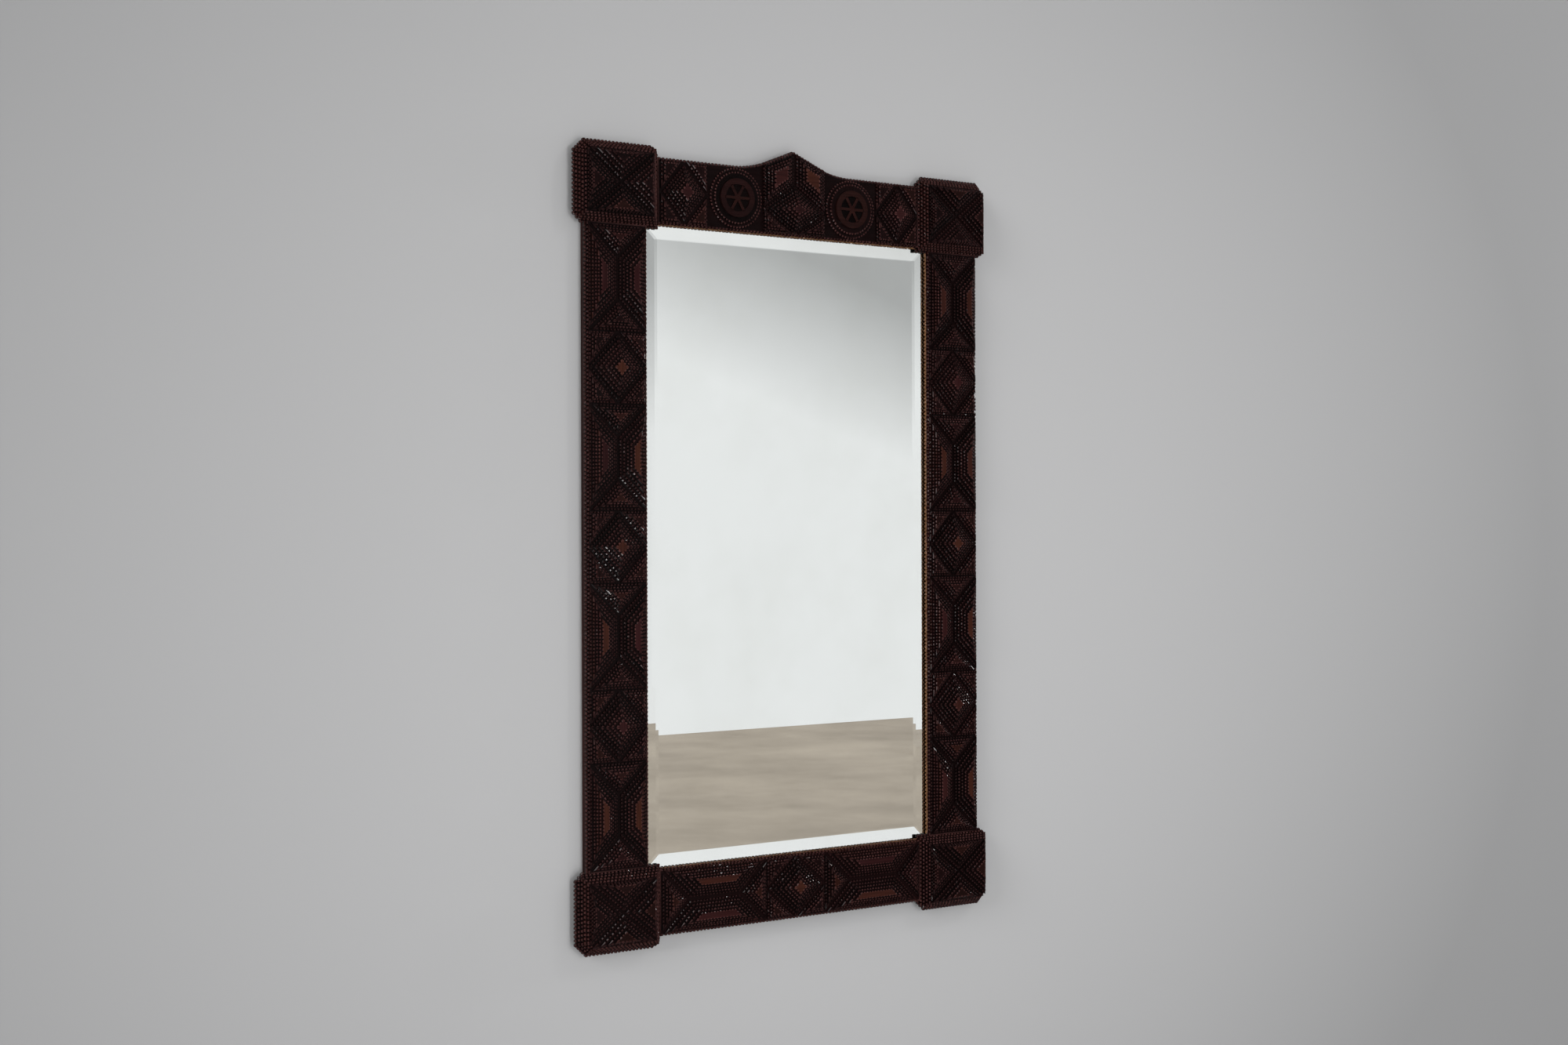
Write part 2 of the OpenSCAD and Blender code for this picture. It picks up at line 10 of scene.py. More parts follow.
import bpy
import numpy as np
from bpy.props import FloatProperty, FloatVectorProperty, IntProperty, PointerProperty
from mathutils import Euler, Matrix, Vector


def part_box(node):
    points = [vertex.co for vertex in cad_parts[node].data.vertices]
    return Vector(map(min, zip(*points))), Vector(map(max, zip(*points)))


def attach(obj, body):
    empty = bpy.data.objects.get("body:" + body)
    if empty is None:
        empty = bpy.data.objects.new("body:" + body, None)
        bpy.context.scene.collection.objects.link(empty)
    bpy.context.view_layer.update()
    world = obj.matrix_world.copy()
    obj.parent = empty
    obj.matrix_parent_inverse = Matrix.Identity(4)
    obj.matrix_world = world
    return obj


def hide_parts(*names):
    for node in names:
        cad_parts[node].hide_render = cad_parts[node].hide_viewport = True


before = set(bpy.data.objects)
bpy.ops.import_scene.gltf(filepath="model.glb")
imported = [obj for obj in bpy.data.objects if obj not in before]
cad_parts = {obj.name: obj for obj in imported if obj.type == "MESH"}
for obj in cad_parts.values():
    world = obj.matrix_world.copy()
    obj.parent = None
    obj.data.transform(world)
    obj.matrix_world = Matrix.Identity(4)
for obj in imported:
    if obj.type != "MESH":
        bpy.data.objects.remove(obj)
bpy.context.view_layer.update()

bl_info = {
    "name": "Tramp Art Mirror Frame",
    "version": (1, 0, 0),
    "blender": (4, 5, 0),
    "location": "View3D > Sidebar > Mirror Frame",
    "description": "Notched layers, mirror plate, finishes and stage of a tramp art mirror frame",
    "category": "Object",
}

MM = 0.001
SIDES = ("left", "right")
CORNERS = ("top_left", "top_right", "bottom_left", "bottom_right")
IMAGE_WIDTH = 2000
SENSOR_WIDTH = 36.0
CARVED_WOOD = "carved_shellacked_wood"
PRINCIPLED = "ShaderNodeBsdfPrincipled"

# Wear of an edge, with painted light in it: 0 is like the layers, 1 like a plain plate and 2 rubbed down
# to the wood and lit by a painted glow that stands for light from the mirror. The outer sides of the strips
# are painted a little lighter, partly rubbing and partly painted light on the sides. The bottom strips have
# a low share of the inner rubbing and glow, and the edges of a plain layer a share of how plain it is
OUTER_WEAR_AND_LIGHT = 0.45
BLOCK_WEAR = 0.25
INNER_WEAR_AND_GLOW = {"lower": 1.9, "upper": 0.8}
LOW_RUB_AND_GLOW = 0.72
LONG_WEAR = [0.0, 0.45, 0.0, 0.0]
PLAIN_WEAR = 0.5

# The side of each straight strip that borders the opening
INNER_SIDE = {"left": 1, "right": 3, "bottom": 2}

# How far a face lies open to light and rubbing, painted into its colour: 0 is a deep corner in painted
# shade and 1 a bare tip, lighter with rubbing and a painted highlight
LAYER_TREAD = 0.14
PLAIN_TREAD = 0.31
STRIP_TREAD = 0.24
SPOKE_TREAD = 0.4
BACK_TREAD = 0.3
ROOT_OPEN = 0.06
FOOT_OPEN = 0.15
SHOULDER_OPEN = 0.6
EDGE_OPEN = 0.94
RUB_AND_GLOW_OPEN = 0.5
CORNER_TOOTH = 0.6

# How far a layer's painted shade is lifted: 1 is none, and the lowest layers of a stack are painted darkest
FOOT_LIGHTNESS = 0.36
STRIP_LIGHTNESS = 0.85
CROSS_LIGHTNESS = 0.82

# How plain the top of a stack is: 0 is like the layers below and 1 a plain plate
WHEEL_PLAIN = 0.26
CROSS_PLAIN = 0.34
CORNER_PLAIN = 0.25
GABLE_PLAIN = 0.5

# Limits of a notch: its greatest depth and the fall-back of a worn top, as shares of the layer's depth of
# notch, and the height of a worn top as a share of the layer's thickness
DEEPEST = 0.96
CHAMFER_LIMIT = 0.55
CHAMFER_TALLEST = 0.4

# Levels of a wheel, how far its spokes reach into its ring and its ground under it, and the gap behind the
# glass
WHEEL_LEVELS = 3
SPOKE_TUCK = 1.0 * MM
GROUND_TUCK = 2.0 * MM
SILVER_GAP = 0.05 * MM

# Stretch of the wood patterns along each axis, per metre, and where each board's pattern starts
LAYER_FIBRE = (14.0, 620.0, 620.0)
LAYER_BANDS = (3.0, 70.0, 70.0)
BOARD_FIBRE = {"x": (5.0, 190.0, 190.0), "z": (190.0, 190.0, 5.0)}
PINE_BEND = (1.6, 1.0, 7.0)
PINE_BANDS = (1.0, 1.0, 140.0)
PINE_FIBRE = (9.0, 300.0, 520.0)
PINE_SAW = (240.0, 1.0, 6.0)
GRAIN_STARTS = 3.0
PLANK_TONES = (1.0, 0.82, 0.93, 0.76, 0.88)
PLANK_SHIFT = 1.3
PLANK_RISE = 0.37

# Colours of the glass, the silvering and the even light, in linear light
GLASS_TINT = (0.985, 0.995, 0.99)
SILVER = (0.95, 0.95, 0.95)
CLOUDED_SILVER = (0.9, 0.9, 0.89)
WHITE = (1.0, 1.0, 1.0)

# The room: the wall's place, the mottle of its surfaces, how the two walls darken as painted shade for the
# falloff of the light, the share of the even light that shows in reflections, and how bright it is to the
# camera
WALL_Y = 1.0 * MM
WALL_MOTTLE = 0.01
FLOOR_MOTTLE = 0.28
FAR_MOTTLE = 0.02
WALL_FADE = (0.1, 0.1, 0.14, 0.7)
FAR_DIM = (0.35, 2.9, 4.1, 0.5)
GLOSSY_AMBIENT = 0.1
SKY_SEEN = 0.8

# Kind and place of each lamp, and the angle of a sun or the side of a square lamp
LAMPS = {
    "key": ("SUN", (-2.3, -1.0, 1.1), math.radians(25.0)),
    "front": ("AREA", (-0.25, -2.6, -0.05), 0.95),
    "high": ("AREA", (1.9, -2.2, 2.2), 0.25),
    "low": ("AREA", (-0.3, -2.4, -1.2), 0.25),
    "right": ("AREA", (3.5, -0.75, 0.5), 0.3),
    "back": ("AREA", (-0.8, 3.0, 1.5), 2.0),
}


def length(name, description, default_mm):
    """A length property: its default is written in millimetres and kept in metres."""
    return FloatProperty(name=name, description=description, default=default_mm * MM, min=0.0,
                         unit="LENGTH", precision=5)


def share(name, description, default):
    """A property that runs from 0 to 1."""
    return FloatProperty(name=name, description=description, default=default, min=0.0, max=1.0,
                         subtype="FACTOR")


def count(name, description, default):
    """A whole-number property."""
    return IntProperty(name=name, description=description, default=default, min=1)


def colour(name, description, default):
    """A linear colour property."""
    return FloatVectorProperty(name=name, description=description, default=default, size=3,
                               subtype="COLOR", min=0.0, max=1.0)


def metres(name, description, default, **limits):
    """A length property of the room."""
    return FloatProperty(name=name, description=description, default=default, unit="LENGTH", **limits)


def turned(name, description, degrees):
    """An angle property: its default is written in degrees and kept in radians."""
    return FloatProperty(name=name, description=description, default=math.radians(degrees), subtype="ANGLE")


def lamp_power(name, description, watts):
    """The power of a lamp."""
    return FloatProperty(name=name, description=description, default=watts, min=0.0, unit="POWER")


def light_level(name, description, default):
    """The strength of an even light."""
    return FloatProperty(name=name, description=description, default=default, min=0.0)


class NotchSizes(bpy.types.PropertyGroup):
    """How the edges of the layers are notched with a knife."""

    strip_pitch: length("Strip pitch", "Distance from notch to notch on the strips and blocks", 6.0)
    layer_pitch: length("Layer pitch", "Distance from notch to notch on the panels", 5.3)
    depth: length("Depth", "Depth of a notch at the face of its layer", 3.6)
    bite: share("Bite", "Largest depth of a notch, as a share of the smallest height of its layer", 0.17)
    foot: share("Foot", "Depth of a notch at the bottom of its layer, as a share of the depth", 0.85)
    shoulder: share("Shoulder", "Depth of a notch below the worn tops of the teeth", 0.95)
    flat: share("Flat", "Share of the pitch that is left as a tooth", 0.36)
    chamfer: length("Chamfer", "The most that the worn top of a tooth falls back", 1.6)
    chamfer_least: share("Least chamfer", "Least fall-back of a worn top, as a share of the most", 0.35)
    chamfer_h: length("Chamfer height", "Height of the worn top of a tooth", 0.5)
    uneven: share("Uneven", "How far pitch and depth wander, as a share of themselves", 0.14)
    slip: length("Slip", "How far a layer was glued out of place", 0.25)
    seed: count("Seed", "Start of the uneven cuts", 7)


class StackSizes(bpy.types.PropertyGroup):
    """Layers and steps of the stacks, as in the CAD model."""

    seam: length("Seam", "Groove between neighbouring panels", 2.0)
    valley: length("Valley", "Groove between the stacks within a panel", 5.0)
    corner_gap: length("Corner gap", "Gap from a corner triangle to the middle of its panel", 3.75)
    roof_layers: count("Roof layers", "Layers in the two long stacks of an hourglass panel", 5)
    roof_step_out: length("Roof step out", "Step of a long stack on its outer side", 3.7)
    roof_step_in: length("Roof step in", "Step of a long stack towards the middle groove", 4.4)
    roof_step_end: length("Roof step end", "Step of a long stack at its slanting ends", 5.5)
    gable_layers: count("Gable layers", "Layers in an end triangle of an hourglass panel", 4)
    gable_step: length("Gable step", "Step from layer to layer of an end triangle", 3.9)
    diamond_layers: count("Diamond layers", "Layers in a diamond", 6)
    diamond_step: length("Diamond step", "Step from layer to layer of a diamond", 5.0)
    diamond_tip_gap: length("Diamond tip gap", "Gap from the end of its panel to a diamond's tip", 3.5)
    corner_layers: count("Corner layers", "Layers in the triangles at a diamond's corners", 3)
    corner_step: length("Corner step", "Step from layer to layer of a corner triangle", 3.6)
    crest_diamond_half: length("Crest diamond", "Half-height of the diamond under the peak", 36.0)
    crest_diamond_step: length("Crest step", "Step from layer to layer of that diamond", 4.5)
    crest_half_w: length("Crest half-width", "From the peak to where its slope would meet the rail", 74.0)
    crest_sweep_r: length("Crest sweep", "Radius of the hollow sweep beside the crest", 150.0)
    slab_layers: count("Slab layers", "Layers in the two slabs under the slopes", 4)
    slab_step: length("Slab step", "Step from layer to layer of a slab", 4.4)
    wheel_step: length("Wheel step", "Step from the lowest disc of a wheel to the second", 6.0)
    ring_r: length("Ring", "Outer radius of a wheel's plain ring", 29.0)
    ring_in_r: length("Ring inside", "Inner radius of a wheel's plain ring", 20.3)
    spokes: count("Spokes", "Spokes within a wheel's ring", 6)
    spoke_w: length("Spoke width", "Width of a spoke", 4.0)
    hub_r: length("Hub", "Radius of a wheel's hub", 5.0)
    small_tip_gap: length("Small tip gap", "Gap from a small diamond's tips to its space", 5.0)
    small_layers: count("Small layers", "Layers in a small diamond", 5)
    small_step: length("Small step", "Step from layer to layer of a small diamond", 4.4)
    block_layers: count("Block layers", "Layers in a corner block", 5)
    block_step: length("Block step", "Step from layer to layer of a corner block", 3.0)
    block_clip: length("Block clip", "Length cut from a block's outer corner along each side", 17.0)
    side_clip: length("Side clip", "Length cut from the side corners of the lowest layer", 12.0)
    side_clip_layers: count("Side clip layers", "Lowest layers whose side corners are cut", 2)
    cross_layers: count("Cross layers", "Layers in each triangle of a corner cross", 4)
    cross_step_in: length("Cross step in", "Step of a cross along its grooves", 5.6)
    cross_step_out: length("Cross step out", "Step of a cross on its outer sides", 1.6)
    cross_groove: length("Cross groove", "Width of the groove along the arms of a cross", 4.0)
    bevel_w: length("Bevel", "Width of the mirror plate's bevel", 26.0)
    bevel_edge_t: length("Bevel edge", "Thickness left at the edge of the bevel", 4.2)
    silver_t: length("Silvering", "Thickness of the silvering behind the plate", 0.2)


class FinishColours(bpy.types.PropertyGroup):
    """Colours of the finishes, in linear light."""

    deep: colour("Deep wood", "Darkest layers, near black with old shellac", (0.0055, 0.0022, 0.0023))
    red: colour("Red wood", "Redder layers", (0.0188, 0.0056, 0.0057))
    plate: colour("Plain plate", "Plain faces on top of the stacks", (0.0540, 0.0160, 0.0090))
    # The strip edge colour is rubbed wood and a painted glow that stands for light thrown on the inner edges
    # by the mirror
    edge: colour("Strip edge", "Rubbed inner edges of the strips", (0.3000, 0.1560, 0.0640))
    rose: colour("Rose plate", "Plain faces of redder wood", (0.0500, 0.0118, 0.0128))
    # The worn colour is real rubbing of the shellac, and a painted highlight where it lands on the tooth tips
    worn: colour("Worn edge", "Tooth edges where the shellac is rubbed thin", (0.1180, 0.0470, 0.0430))
    carcass: colour("Carcass", "Stained edges of the boards", (0.0450, 0.0145, 0.0125))
    raw: colour("Raw back", "Unfinished backs of the boards", (0.165, 0.098, 0.052))
    pine: colour("Pine", "Old pine of the back planks", (0.34, 0.205, 0.098))
    iron: colour("Iron", "Blackened iron of hangers and nails", (0.060, 0.056, 0.054))
    rust: colour("Rust", "Rust on the iron", (0.125, 0.046, 0.020))
    wall: colour("Wall", "The wall that the mirror hangs on", (0.52, 0.52, 0.525))
    floor: colour("Floor", "The pale floor", (0.520, 0.456, 0.382))
    far_wall: colour("Far wall", "The wall across the room, seen in the mirror", (0.890, 0.900, 0.900))


class StageSizes(bpy.types.PropertyGroup):
    """Camera, room and lights."""

    camera: FloatVectorProperty(name="Camera", description="Place of the camera", size=3,
                                default=(-1.5385, -2.440, 0.0343), subtype="TRANSLATION", unit="LENGTH")
    yaw: turned("Yaw", "Turn of the camera to the right of the wall's normal", 32.13)
    pitch: turned("Pitch", "Tilt of the camera upwards", 0.0)
    roll: turned("Roll", "Turn of the camera about its own axis", -0.18)
    focus: FloatProperty(name="Focal length", description="Focal length in pixels of the whole image",
                         default=2410.0, min=100.0, subtype="PIXEL")
    floor_z: metres("Floor", "Height of the floor below the middle of the mirror", -1.46)
    room_y: metres("Room depth", "Distance to the wall across the room", 9.3, min=3.0)
    room_half: metres("Room half-width", "Half the width and height of the room", 12.0, min=3.0)
    key_power: light_level("Key light", "Strength of the broad light from the left", 1.1)
    high_power: lamp_power("High light", "Power of the light from high on the right", 10.0)
    front_power: lamp_power("Front light", "Power of the light in front of the frame", 18.0)
    low_power: lamp_power("Low light", "Power of the light from the floor", 7.0)
    right_power: lamp_power("Right light", "Power of the light on the right", 12.0)
    back_power: lamp_power("Back light", "Power of the light behind the wall", 40.0)
    ambient: light_level("Ambient", "Strength of the even light from all round", 0.48)


SETTINGS = {
    "frame_notches": NotchSizes,
    "frame_stacks": StackSizes,
    "frame_finishes": FinishColours,
    "frame_stage": StageSizes,
}


# Outlines


def inset(points, distances):
    """A convex outline with each edge moved in by its own distance.

    A corner between unit edge directions a and b moves by (b * a_d - a * b_d) / (a x b), where a_d and b_d
    are the distances of the edge that arrives and the edge that leaves.
    """
    a = points - np.roll(points, 1, axis=0)
    a = a / np.linalg.norm(a, axis=1, keepdims=True)
    b = np.roll(a, -1, axis=0)
    a_d = np.roll(distances, 1)[:, None]
    b_d = np.asarray(distances)[:, None]
    turn = (a[:, 0] * b[:, 1] - a[:, 1] * b[:, 0])[:, None]
    return points + (b * a_d - a * b_d) / turn


def edges_of(points):
    """The straight sides of an outline, each as a run of two points."""
    return list(np.stack((points, np.roll(points, -1, axis=0)), axis=1))


@dataclasses.dataclass
class Layer:
    """One flat piece of wood: its sides, its place in depth and how its edges and face are finished.

    notched tells for each side whether it is cut, and another list how worn each side is, with painted light
    on it. tread is how light the face is painted, a share how far the layer's painted shade is lifted, and
    closed marks a single round side.
    """

    sides: list
    d: float
    t: float
    plain: float = 0.0
    notched: list = None
    grain: str = "z"
    closed: bool = False
    wear_and_light: list = None
    tread: float = None
    clean: float = 1.0

    def __post_init__(self):
        """Fill in how worn and lit the sides are painted, their cuts and the face's tread where they are not
        given.
        """
        if self.wear_and_light is None:
            self.wear_and_light = [PLAIN_WEAR * self.plain] * len(self.sides)
        if self.notched is None:
            self.notched = [True] * len(self.sides)
        if self.tread is None:
            self.tread = self.clean * (LAYER_TREAD + PLAIN_TREAD * self.plain)

    def moved(self, turn=None, flip=(1, 1), shift=(0.0, 0.0)):
        """A copy turned by a 2 x 2 matrix, flipped and shifted: p' = (turn p) * flip + shift.

        A single flip turns the outline round, so the sides are then listed backwards.
        """
        matrix = np.eye(2) if turn is None else turn
        sides = [(side @ matrix.T) * flip + np.asarray(shift) for side in self.sides]
        notched = self.notched
        wear_and_light = self.wear_and_light
        if flip[0] * flip[1] < 0:
            sides = [side[::-1] for side in sides[::-1]]
            notched = notched[::-1]
            wear_and_light = wear_and_light[::-1]
        return dataclasses.replace(self, sides=sides, notched=notched, wear_and_light=wear_and_light)


QUARTER_TURN = np.array([[0.0, 1.0], [-1.0, 0.0]])
HALF_TURN = np.array([[-1.0, 0.0], [0.0, -1.0]])
FLIPS = {"top_right": (1, 1), "top_left": (-1, 1), "bottom_right": (1, -1), "bottom_left": (-1, -1)}


def stack(points, steps, layers, d, t, plain=1.0, grain="z", wear_and_light=None, top_lightness=1.0):
    """Stepped layers: layer k is the outline set in by k times the steps, k thicknesses further out.

    The lower a layer lies, the darker it is painted, as painted shade. Only the top layer is plain.
    """
    points = np.asarray(points, dtype=float)
    steps = np.asarray(steps, dtype=float)
    made = []
    for k in range(layers):
        sides = edges_of(inset(points, steps * k))
        layer_plain = plain if k == layers - 1 else 0.0
        # Painted shade: the lower the layer, the darker its painted light
        clean = FOOT_LIGHTNESS + (top_lightness - FOOT_LIGHTNESS) * (k + 1) / layers
        made.append(Layer(sides, d + k * t, t, layer_plain, grain=grain, wear_and_light=wear_and_light, clean=clean))
    return made


def diamond_points(half_x, half_z):
    """A diamond with its tips on the axes."""
    return [[half_x, 0.0], [0.0, half_z], [-half_x, 0.0], [0.0, -half_z]]


# Notched plates


def walk(run, at):
    """Points and inward directions at the given lengths along a run of points.

    Both are interpolated along the run's own length. The inward direction is the direction of travel turned
    a quarter to the left, because outlines run counter-clockwise.
    """
    steps = np.diff(run, axis=0)
    lengths = np.linalg.norm(steps, axis=1)
    marks = np.concatenate(([0.0], np.cumsum(lengths)))
    ways = steps / lengths[:, None]
    ways = np.vstack((ways[:1], ways[1:] + ways[:-1], ways[-1:]))
    ways = ways / np.linalg.norm(ways, axis=1, keepdims=True)
    points = np.stack((np.interp(at, marks, run[:, 0]), np.interp(at, marks, run[:, 1])), axis=1)
    inward = np.stack((-np.interp(at, marks, ways[:, 1]), np.interp(at, marks, ways[:, 0])), axis=1)
    return points, inward


def run_length(run):
    """The length of a run of points."""
    return float(np.linalg.norm(np.diff(run, axis=0), axis=1).sum())


def turned_left(ways):
    """Directions turned a quarter to the left and made one unit long."""
    return np.stack((-ways[:, 1], ways[:, 0]), axis=1) / np.linalg.norm(ways, axis=1, keepdims=True)


def corner_mitres(sides):
    """How each side's first corner moves when both sides there move in by one unit: (a + b) / (1 + a . b).

    a and b are the inward directions of the side that arrives and the side that leaves.
    """
    a = turned_left(np.roll(np.array([side[-1] - side[-2] for side in sides]), 1, axis=0))
    b = turned_left(np.array([side[1] - side[0] for side in sides]))
    return (a + b) / (1.0 + (a * b).sum(axis=1, keepdims=True))


def notch_depth(layer, sizes):
    """The depth of a layer's notches: the usual depth, or a share of the smallest height of a small layer.

    The height over a side is the largest distance of a corner from it.
    """
    if layer.closed:
        return sizes.depth
    starts = np.array([side[0] for side in layer.sides])
    inward = turned_left(np.array([side[-1] - side[0] for side in layer.sides]))
    heights = ((starts[None] - starts[:, None]) * inward[:, None]).sum(axis=2).max(axis=1)
    return min(sizes.depth, sizes.bite * heights.min())


def notch_side(run, mitre, gaps, pitch, depth, sizes, rng):
    """One side of a layer cut with V notches, from its first corner up to the next.

    The free length is shared out in equal pitches. In each, a notch runs from its edge at full width down
    to its root and back: lengths m - h, m, m + h and depths 0, deep, 0, with m, h and deep a little uneven.
    The top of each tooth is worn back by its own amount. The four rings are the foot of the layer, the
    shoulder below the worn tops of the teeth, the edge of its face and the line on the face where the
    notches end. After them comes how far each point is a tooth: 1 on a tooth and 0 at a root.
    """
    free = run_length(run) - gaps[0] - gaps[1]
    number = max(int(round(free / pitch)), 0)
    step = free / max(number, 1)
    wander = rng.uniform(-sizes.uneven, sizes.uneven, (3, number))
    fall = min(sizes.chamfer, CHAMFER_LIMIT * depth)
    worn = fall * rng.uniform(sizes.chamfer_least, 1.0, number + 1)
    middle = gaps[0] + step * (np.arange(number) + 0.5 + 0.5 * wander[0])
    half = 0.5 * step * (1.0 - sizes.flat) * (1.0 + wander[1])
    deep = depth * (DEEPEST - sizes.uneven + wander[2])
    cuts = np.stack((middle - half, middle, middle + half), axis=1).ravel()
    depths = np.stack((np.zeros(number), deep, np.zeros(number)), axis=1).ravel()
    tops = np.stack((worn[:-1], deep, worn[1:]), axis=1).ravel()
    points, inward = walk(run, np.concatenate(([0.0], cuts)))
    inward[0] = mitre
    into = np.concatenate(([0.0], depths))[:, None]
    back = np.concatenate((worn[:1], tops))[:, None]
    rings = [points + inward * into * sizes.foot,
             points + inward * into * sizes.shoulder,
             points + inward * back,
             points + inward * depth]
    return rings + [np.concatenate(([CORNER_TOOTH], np.tile([1.0, 0.0, 1.0], number)))]


def straight_side(run, mitre, depth):
    """One side of a layer that is left uncut, in the same four rings."""
    marks = np.concatenate(([0.0], np.cumsum(np.linalg.norm(np.diff(run, axis=0), axis=1))))
    points, inward = walk(run, marks[:-1])
    inward[0] = mitre
    return [points, points, points, points + inward * depth, np.ones(len(points))]


def notched_rings(layer, pitch, sizes, rng):
    """The four outlines of a layer with all sides joined, and for each of their points its tooth and how worn
    and lit it is painted.

    The length left uncut at a corner is depth / tan(half its angle), where a mitre of the corner ends.
    """
    depth = notch_depth(layer, sizes)
    mitres = corner_mitres(layer.sides)
    gaps = depth * np.sqrt(np.maximum((mitres ** 2).sum(axis=1) - 1.0, 0.0))
    parts = []
    for i, run in enumerate(layer.sides):
        if layer.notched[i]:
            ends = (gaps[i], gaps[(i + 1) % len(gaps)])
            part = notch_side(run, mitres[i], ends, pitch, depth, sizes, rng)
        else:
            part = straight_side(run, mitres[i], depth)
        parts.append(part + [np.full(len(part[0]), layer.wear_and_light[i])])
    return [np.concatenate(part) for part in zip(*parts)]


class Solid:
    """Closed shells gathered into one mesh, with a look for every face corner and a grain place per point."""

    def __init__(self):
        self.points = []
        self.faces = []
        self.looks = []
        self.grains = []
        self.size = 0

    def add(self, points, faces, looks, grain):
        """Add one shell: its points, its faces, one look for each face corner and a grain place per point."""
        self.points.append(points)
        self.faces.extend([[i + self.size for i in face] for face in faces])
        self.looks.append(looks)
        self.grains.append(grain)
        self.size += len(points)

    def mesh(self, name):
        """The mesh of all shells."""
        made = bpy.data.meshes.new(name)
        made.from_pydata(np.concatenate(self.points), [], self.faces)
        look = made.color_attributes.new("look", "FLOAT_COLOR", "CORNER")
        look.data.foreach_set("color", np.concatenate(self.looks).ravel())
        grain = made.attributes.new("grain", "FLOAT_VECTOR", "POINT")
        grain.data.foreach_set("vector", np.concatenate(self.grains).ravel())
        made.validate()
        made.update()
        return made


def plate_faces(n, rings):
    """Faces of a plate: bands between rings of n points each, closed by the last ring and the first."""
    i = np.arange(n)
    j = (i + 1) % n
    band = np.stack((i, j, j + n, i + n), axis=1)
    bands = np.vstack([band + k * n for k in range(rings - 1)])
    return bands.tolist() + [(i + (rings - 1) * n).tolist(), i[::-1].tolist()]


def grain_places(points, grain, rng):
    """Places in the wood: x along the fibre, y and z across it, with a random start for each board."""
    along, across = (2, 0) if grain == "z" else (0, 2)
    return points[:, [along, across, 1]] + rng.uniform(0.0, GRAIN_STARTS, 3)


def band_looks(low, high, tint, plain):
    """Looks of a band of faces between two rings: tint, plain, painted light and 1 for each face corner.

    low and high are the painted light levels along the two rings, and plain how worn and lit the band is
    painted.
    """
    painted_light_and_rub = np.stack((low, np.roll(low, -1), np.roll(high, -1), high), axis=1).ravel()
    return np.stack((np.full(len(painted_light_and_rub), tint), np.repeat(plain, 4), painted_light_and_rub, np.ones(len(painted_light_and_rub))), axis=1)


def face_looks(n, tint, plain, painted_light_and_rub):
    """Looks of a plate's face or back: even all over."""
    return np.tile([tint, plain, painted_light_and_rub, 1.0], (n, 1))


def add_layer(solid, layer, pitch, sizes, rng):
    """A notched plate: rings at d, d + t - chamfer_h and twice d + t, closed by sides, face and back.

    The tips of the teeth are painted lightest, with rubbing and a painted highlight, and the roots and feet
    of the notches darkest, with painted shade. A layer with no notches leaves out the last ring.
    """
    shifted = layer.moved(shift=rng.uniform(-sizes.slip, sizes.slip, 2))
    foot, shoulder, edge, inner, tooth, wear_and_light = notched_rings(shifted, pitch, sizes, rng)
    n = len(edge)
    face_d = layer.d + layer.t
    rings = [foot, shoulder, edge, inner]
    depths = [layer.d, face_d - min(sizes.chamfer_h, CHAMFER_TALLEST * layer.t), face_d, face_d]
    # Edges worn past 1 are lifted towards full light: rubbed wood and a painted glow of the mirror's light
    rub_and_glow = RUB_AND_GLOW_OPEN * np.clip(wear_and_light - 1.0, 0.0, 1.0)
    clean = layer.clean
    # Painted light of each ring: painted shade at the feet and roots, lightest at the tooth tips
    exposures = [clean * FOOT_OPEN * tooth + rub_and_glow,
                 clean * (ROOT_OPEN + SHOULDER_OPEN * tooth) + rub_and_glow,
                 math.sqrt(clean) * (ROOT_OPEN + EDGE_OPEN * tooth),
                 np.full(n, layer.tread)]
    if not any(layer.notched):
        rings, depths, exposures = rings[:3], depths[:3], exposures[:3]
    points = np.empty((len(rings) * n, 3))
    points[:, [0, 2]] = np.vstack(rings)
    points[:, 1] = -np.repeat(depths, n)
    tint = rng.uniform(0.0, 1.0)
    plains = [wear_and_light, wear_and_light, np.full(n, layer.plain)]
    looks = [band_looks(low, high, tint, plain)
             for low, high, plain in zip(exposures[:-1], exposures[1:], plains)]
    looks = np.vstack(looks + [face_looks(n, tint, layer.plain, layer.tread),
                               face_looks(n, tint, 0.0, BACK_TREAD)])
    solid.add(points, plate_faces(n, len(rings)), looks, grain_places(points, layer.grain, rng))


def add_ring(solid, rng, middle, outer, inner, d, t, plain, segments=72):
    """A plain ring: a rectangular profile of four points carried round a circle about the middle."""
    angle = np.linspace(0.0, 2.0 * math.pi, segments, endpoint=False)
    radius = np.array([outer, outer, inner, inner])
    depth = np.array([-d, -d - t, -d - t, -d])
    points = np.empty((4, segments, 3))
    points[..., 0] = middle[0] + radius[:, None] * np.cos(angle)
    points[..., 1] = depth[:, None]
    points[..., 2] = middle[1] + radius[:, None] * np.sin(angle)
    k, i = np.meshgrid(np.arange(4), np.arange(segments), indexing="ij")
    k_next = (k + 1) % 4
    i_next = (i + 1) % segments
    corners = (k * segments + i, k * segments + i_next, k_next * segments + i_next, k_next * segments + i)
    faces = np.stack(corners, axis=-1).reshape(-1, 4)
    points = points.reshape(-1, 3)
    tint = rng.uniform(0.0, 1.0)
    looks = face_looks(faces.size, tint, plain, SPOKE_TREAD)
    solid.add(points, faces.tolist(), looks, grain_places(points, "x", rng))


def add_piece(name, mesh, material):
    """A new piece of the frame with its finish, on the frame's only body."""
    piece = bpy.data.objects.new(name, mesh)
    bpy.context.scene.collection.objects.link(piece)
    piece.data.materials.append(material)
    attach(piece, "root")
    return piece


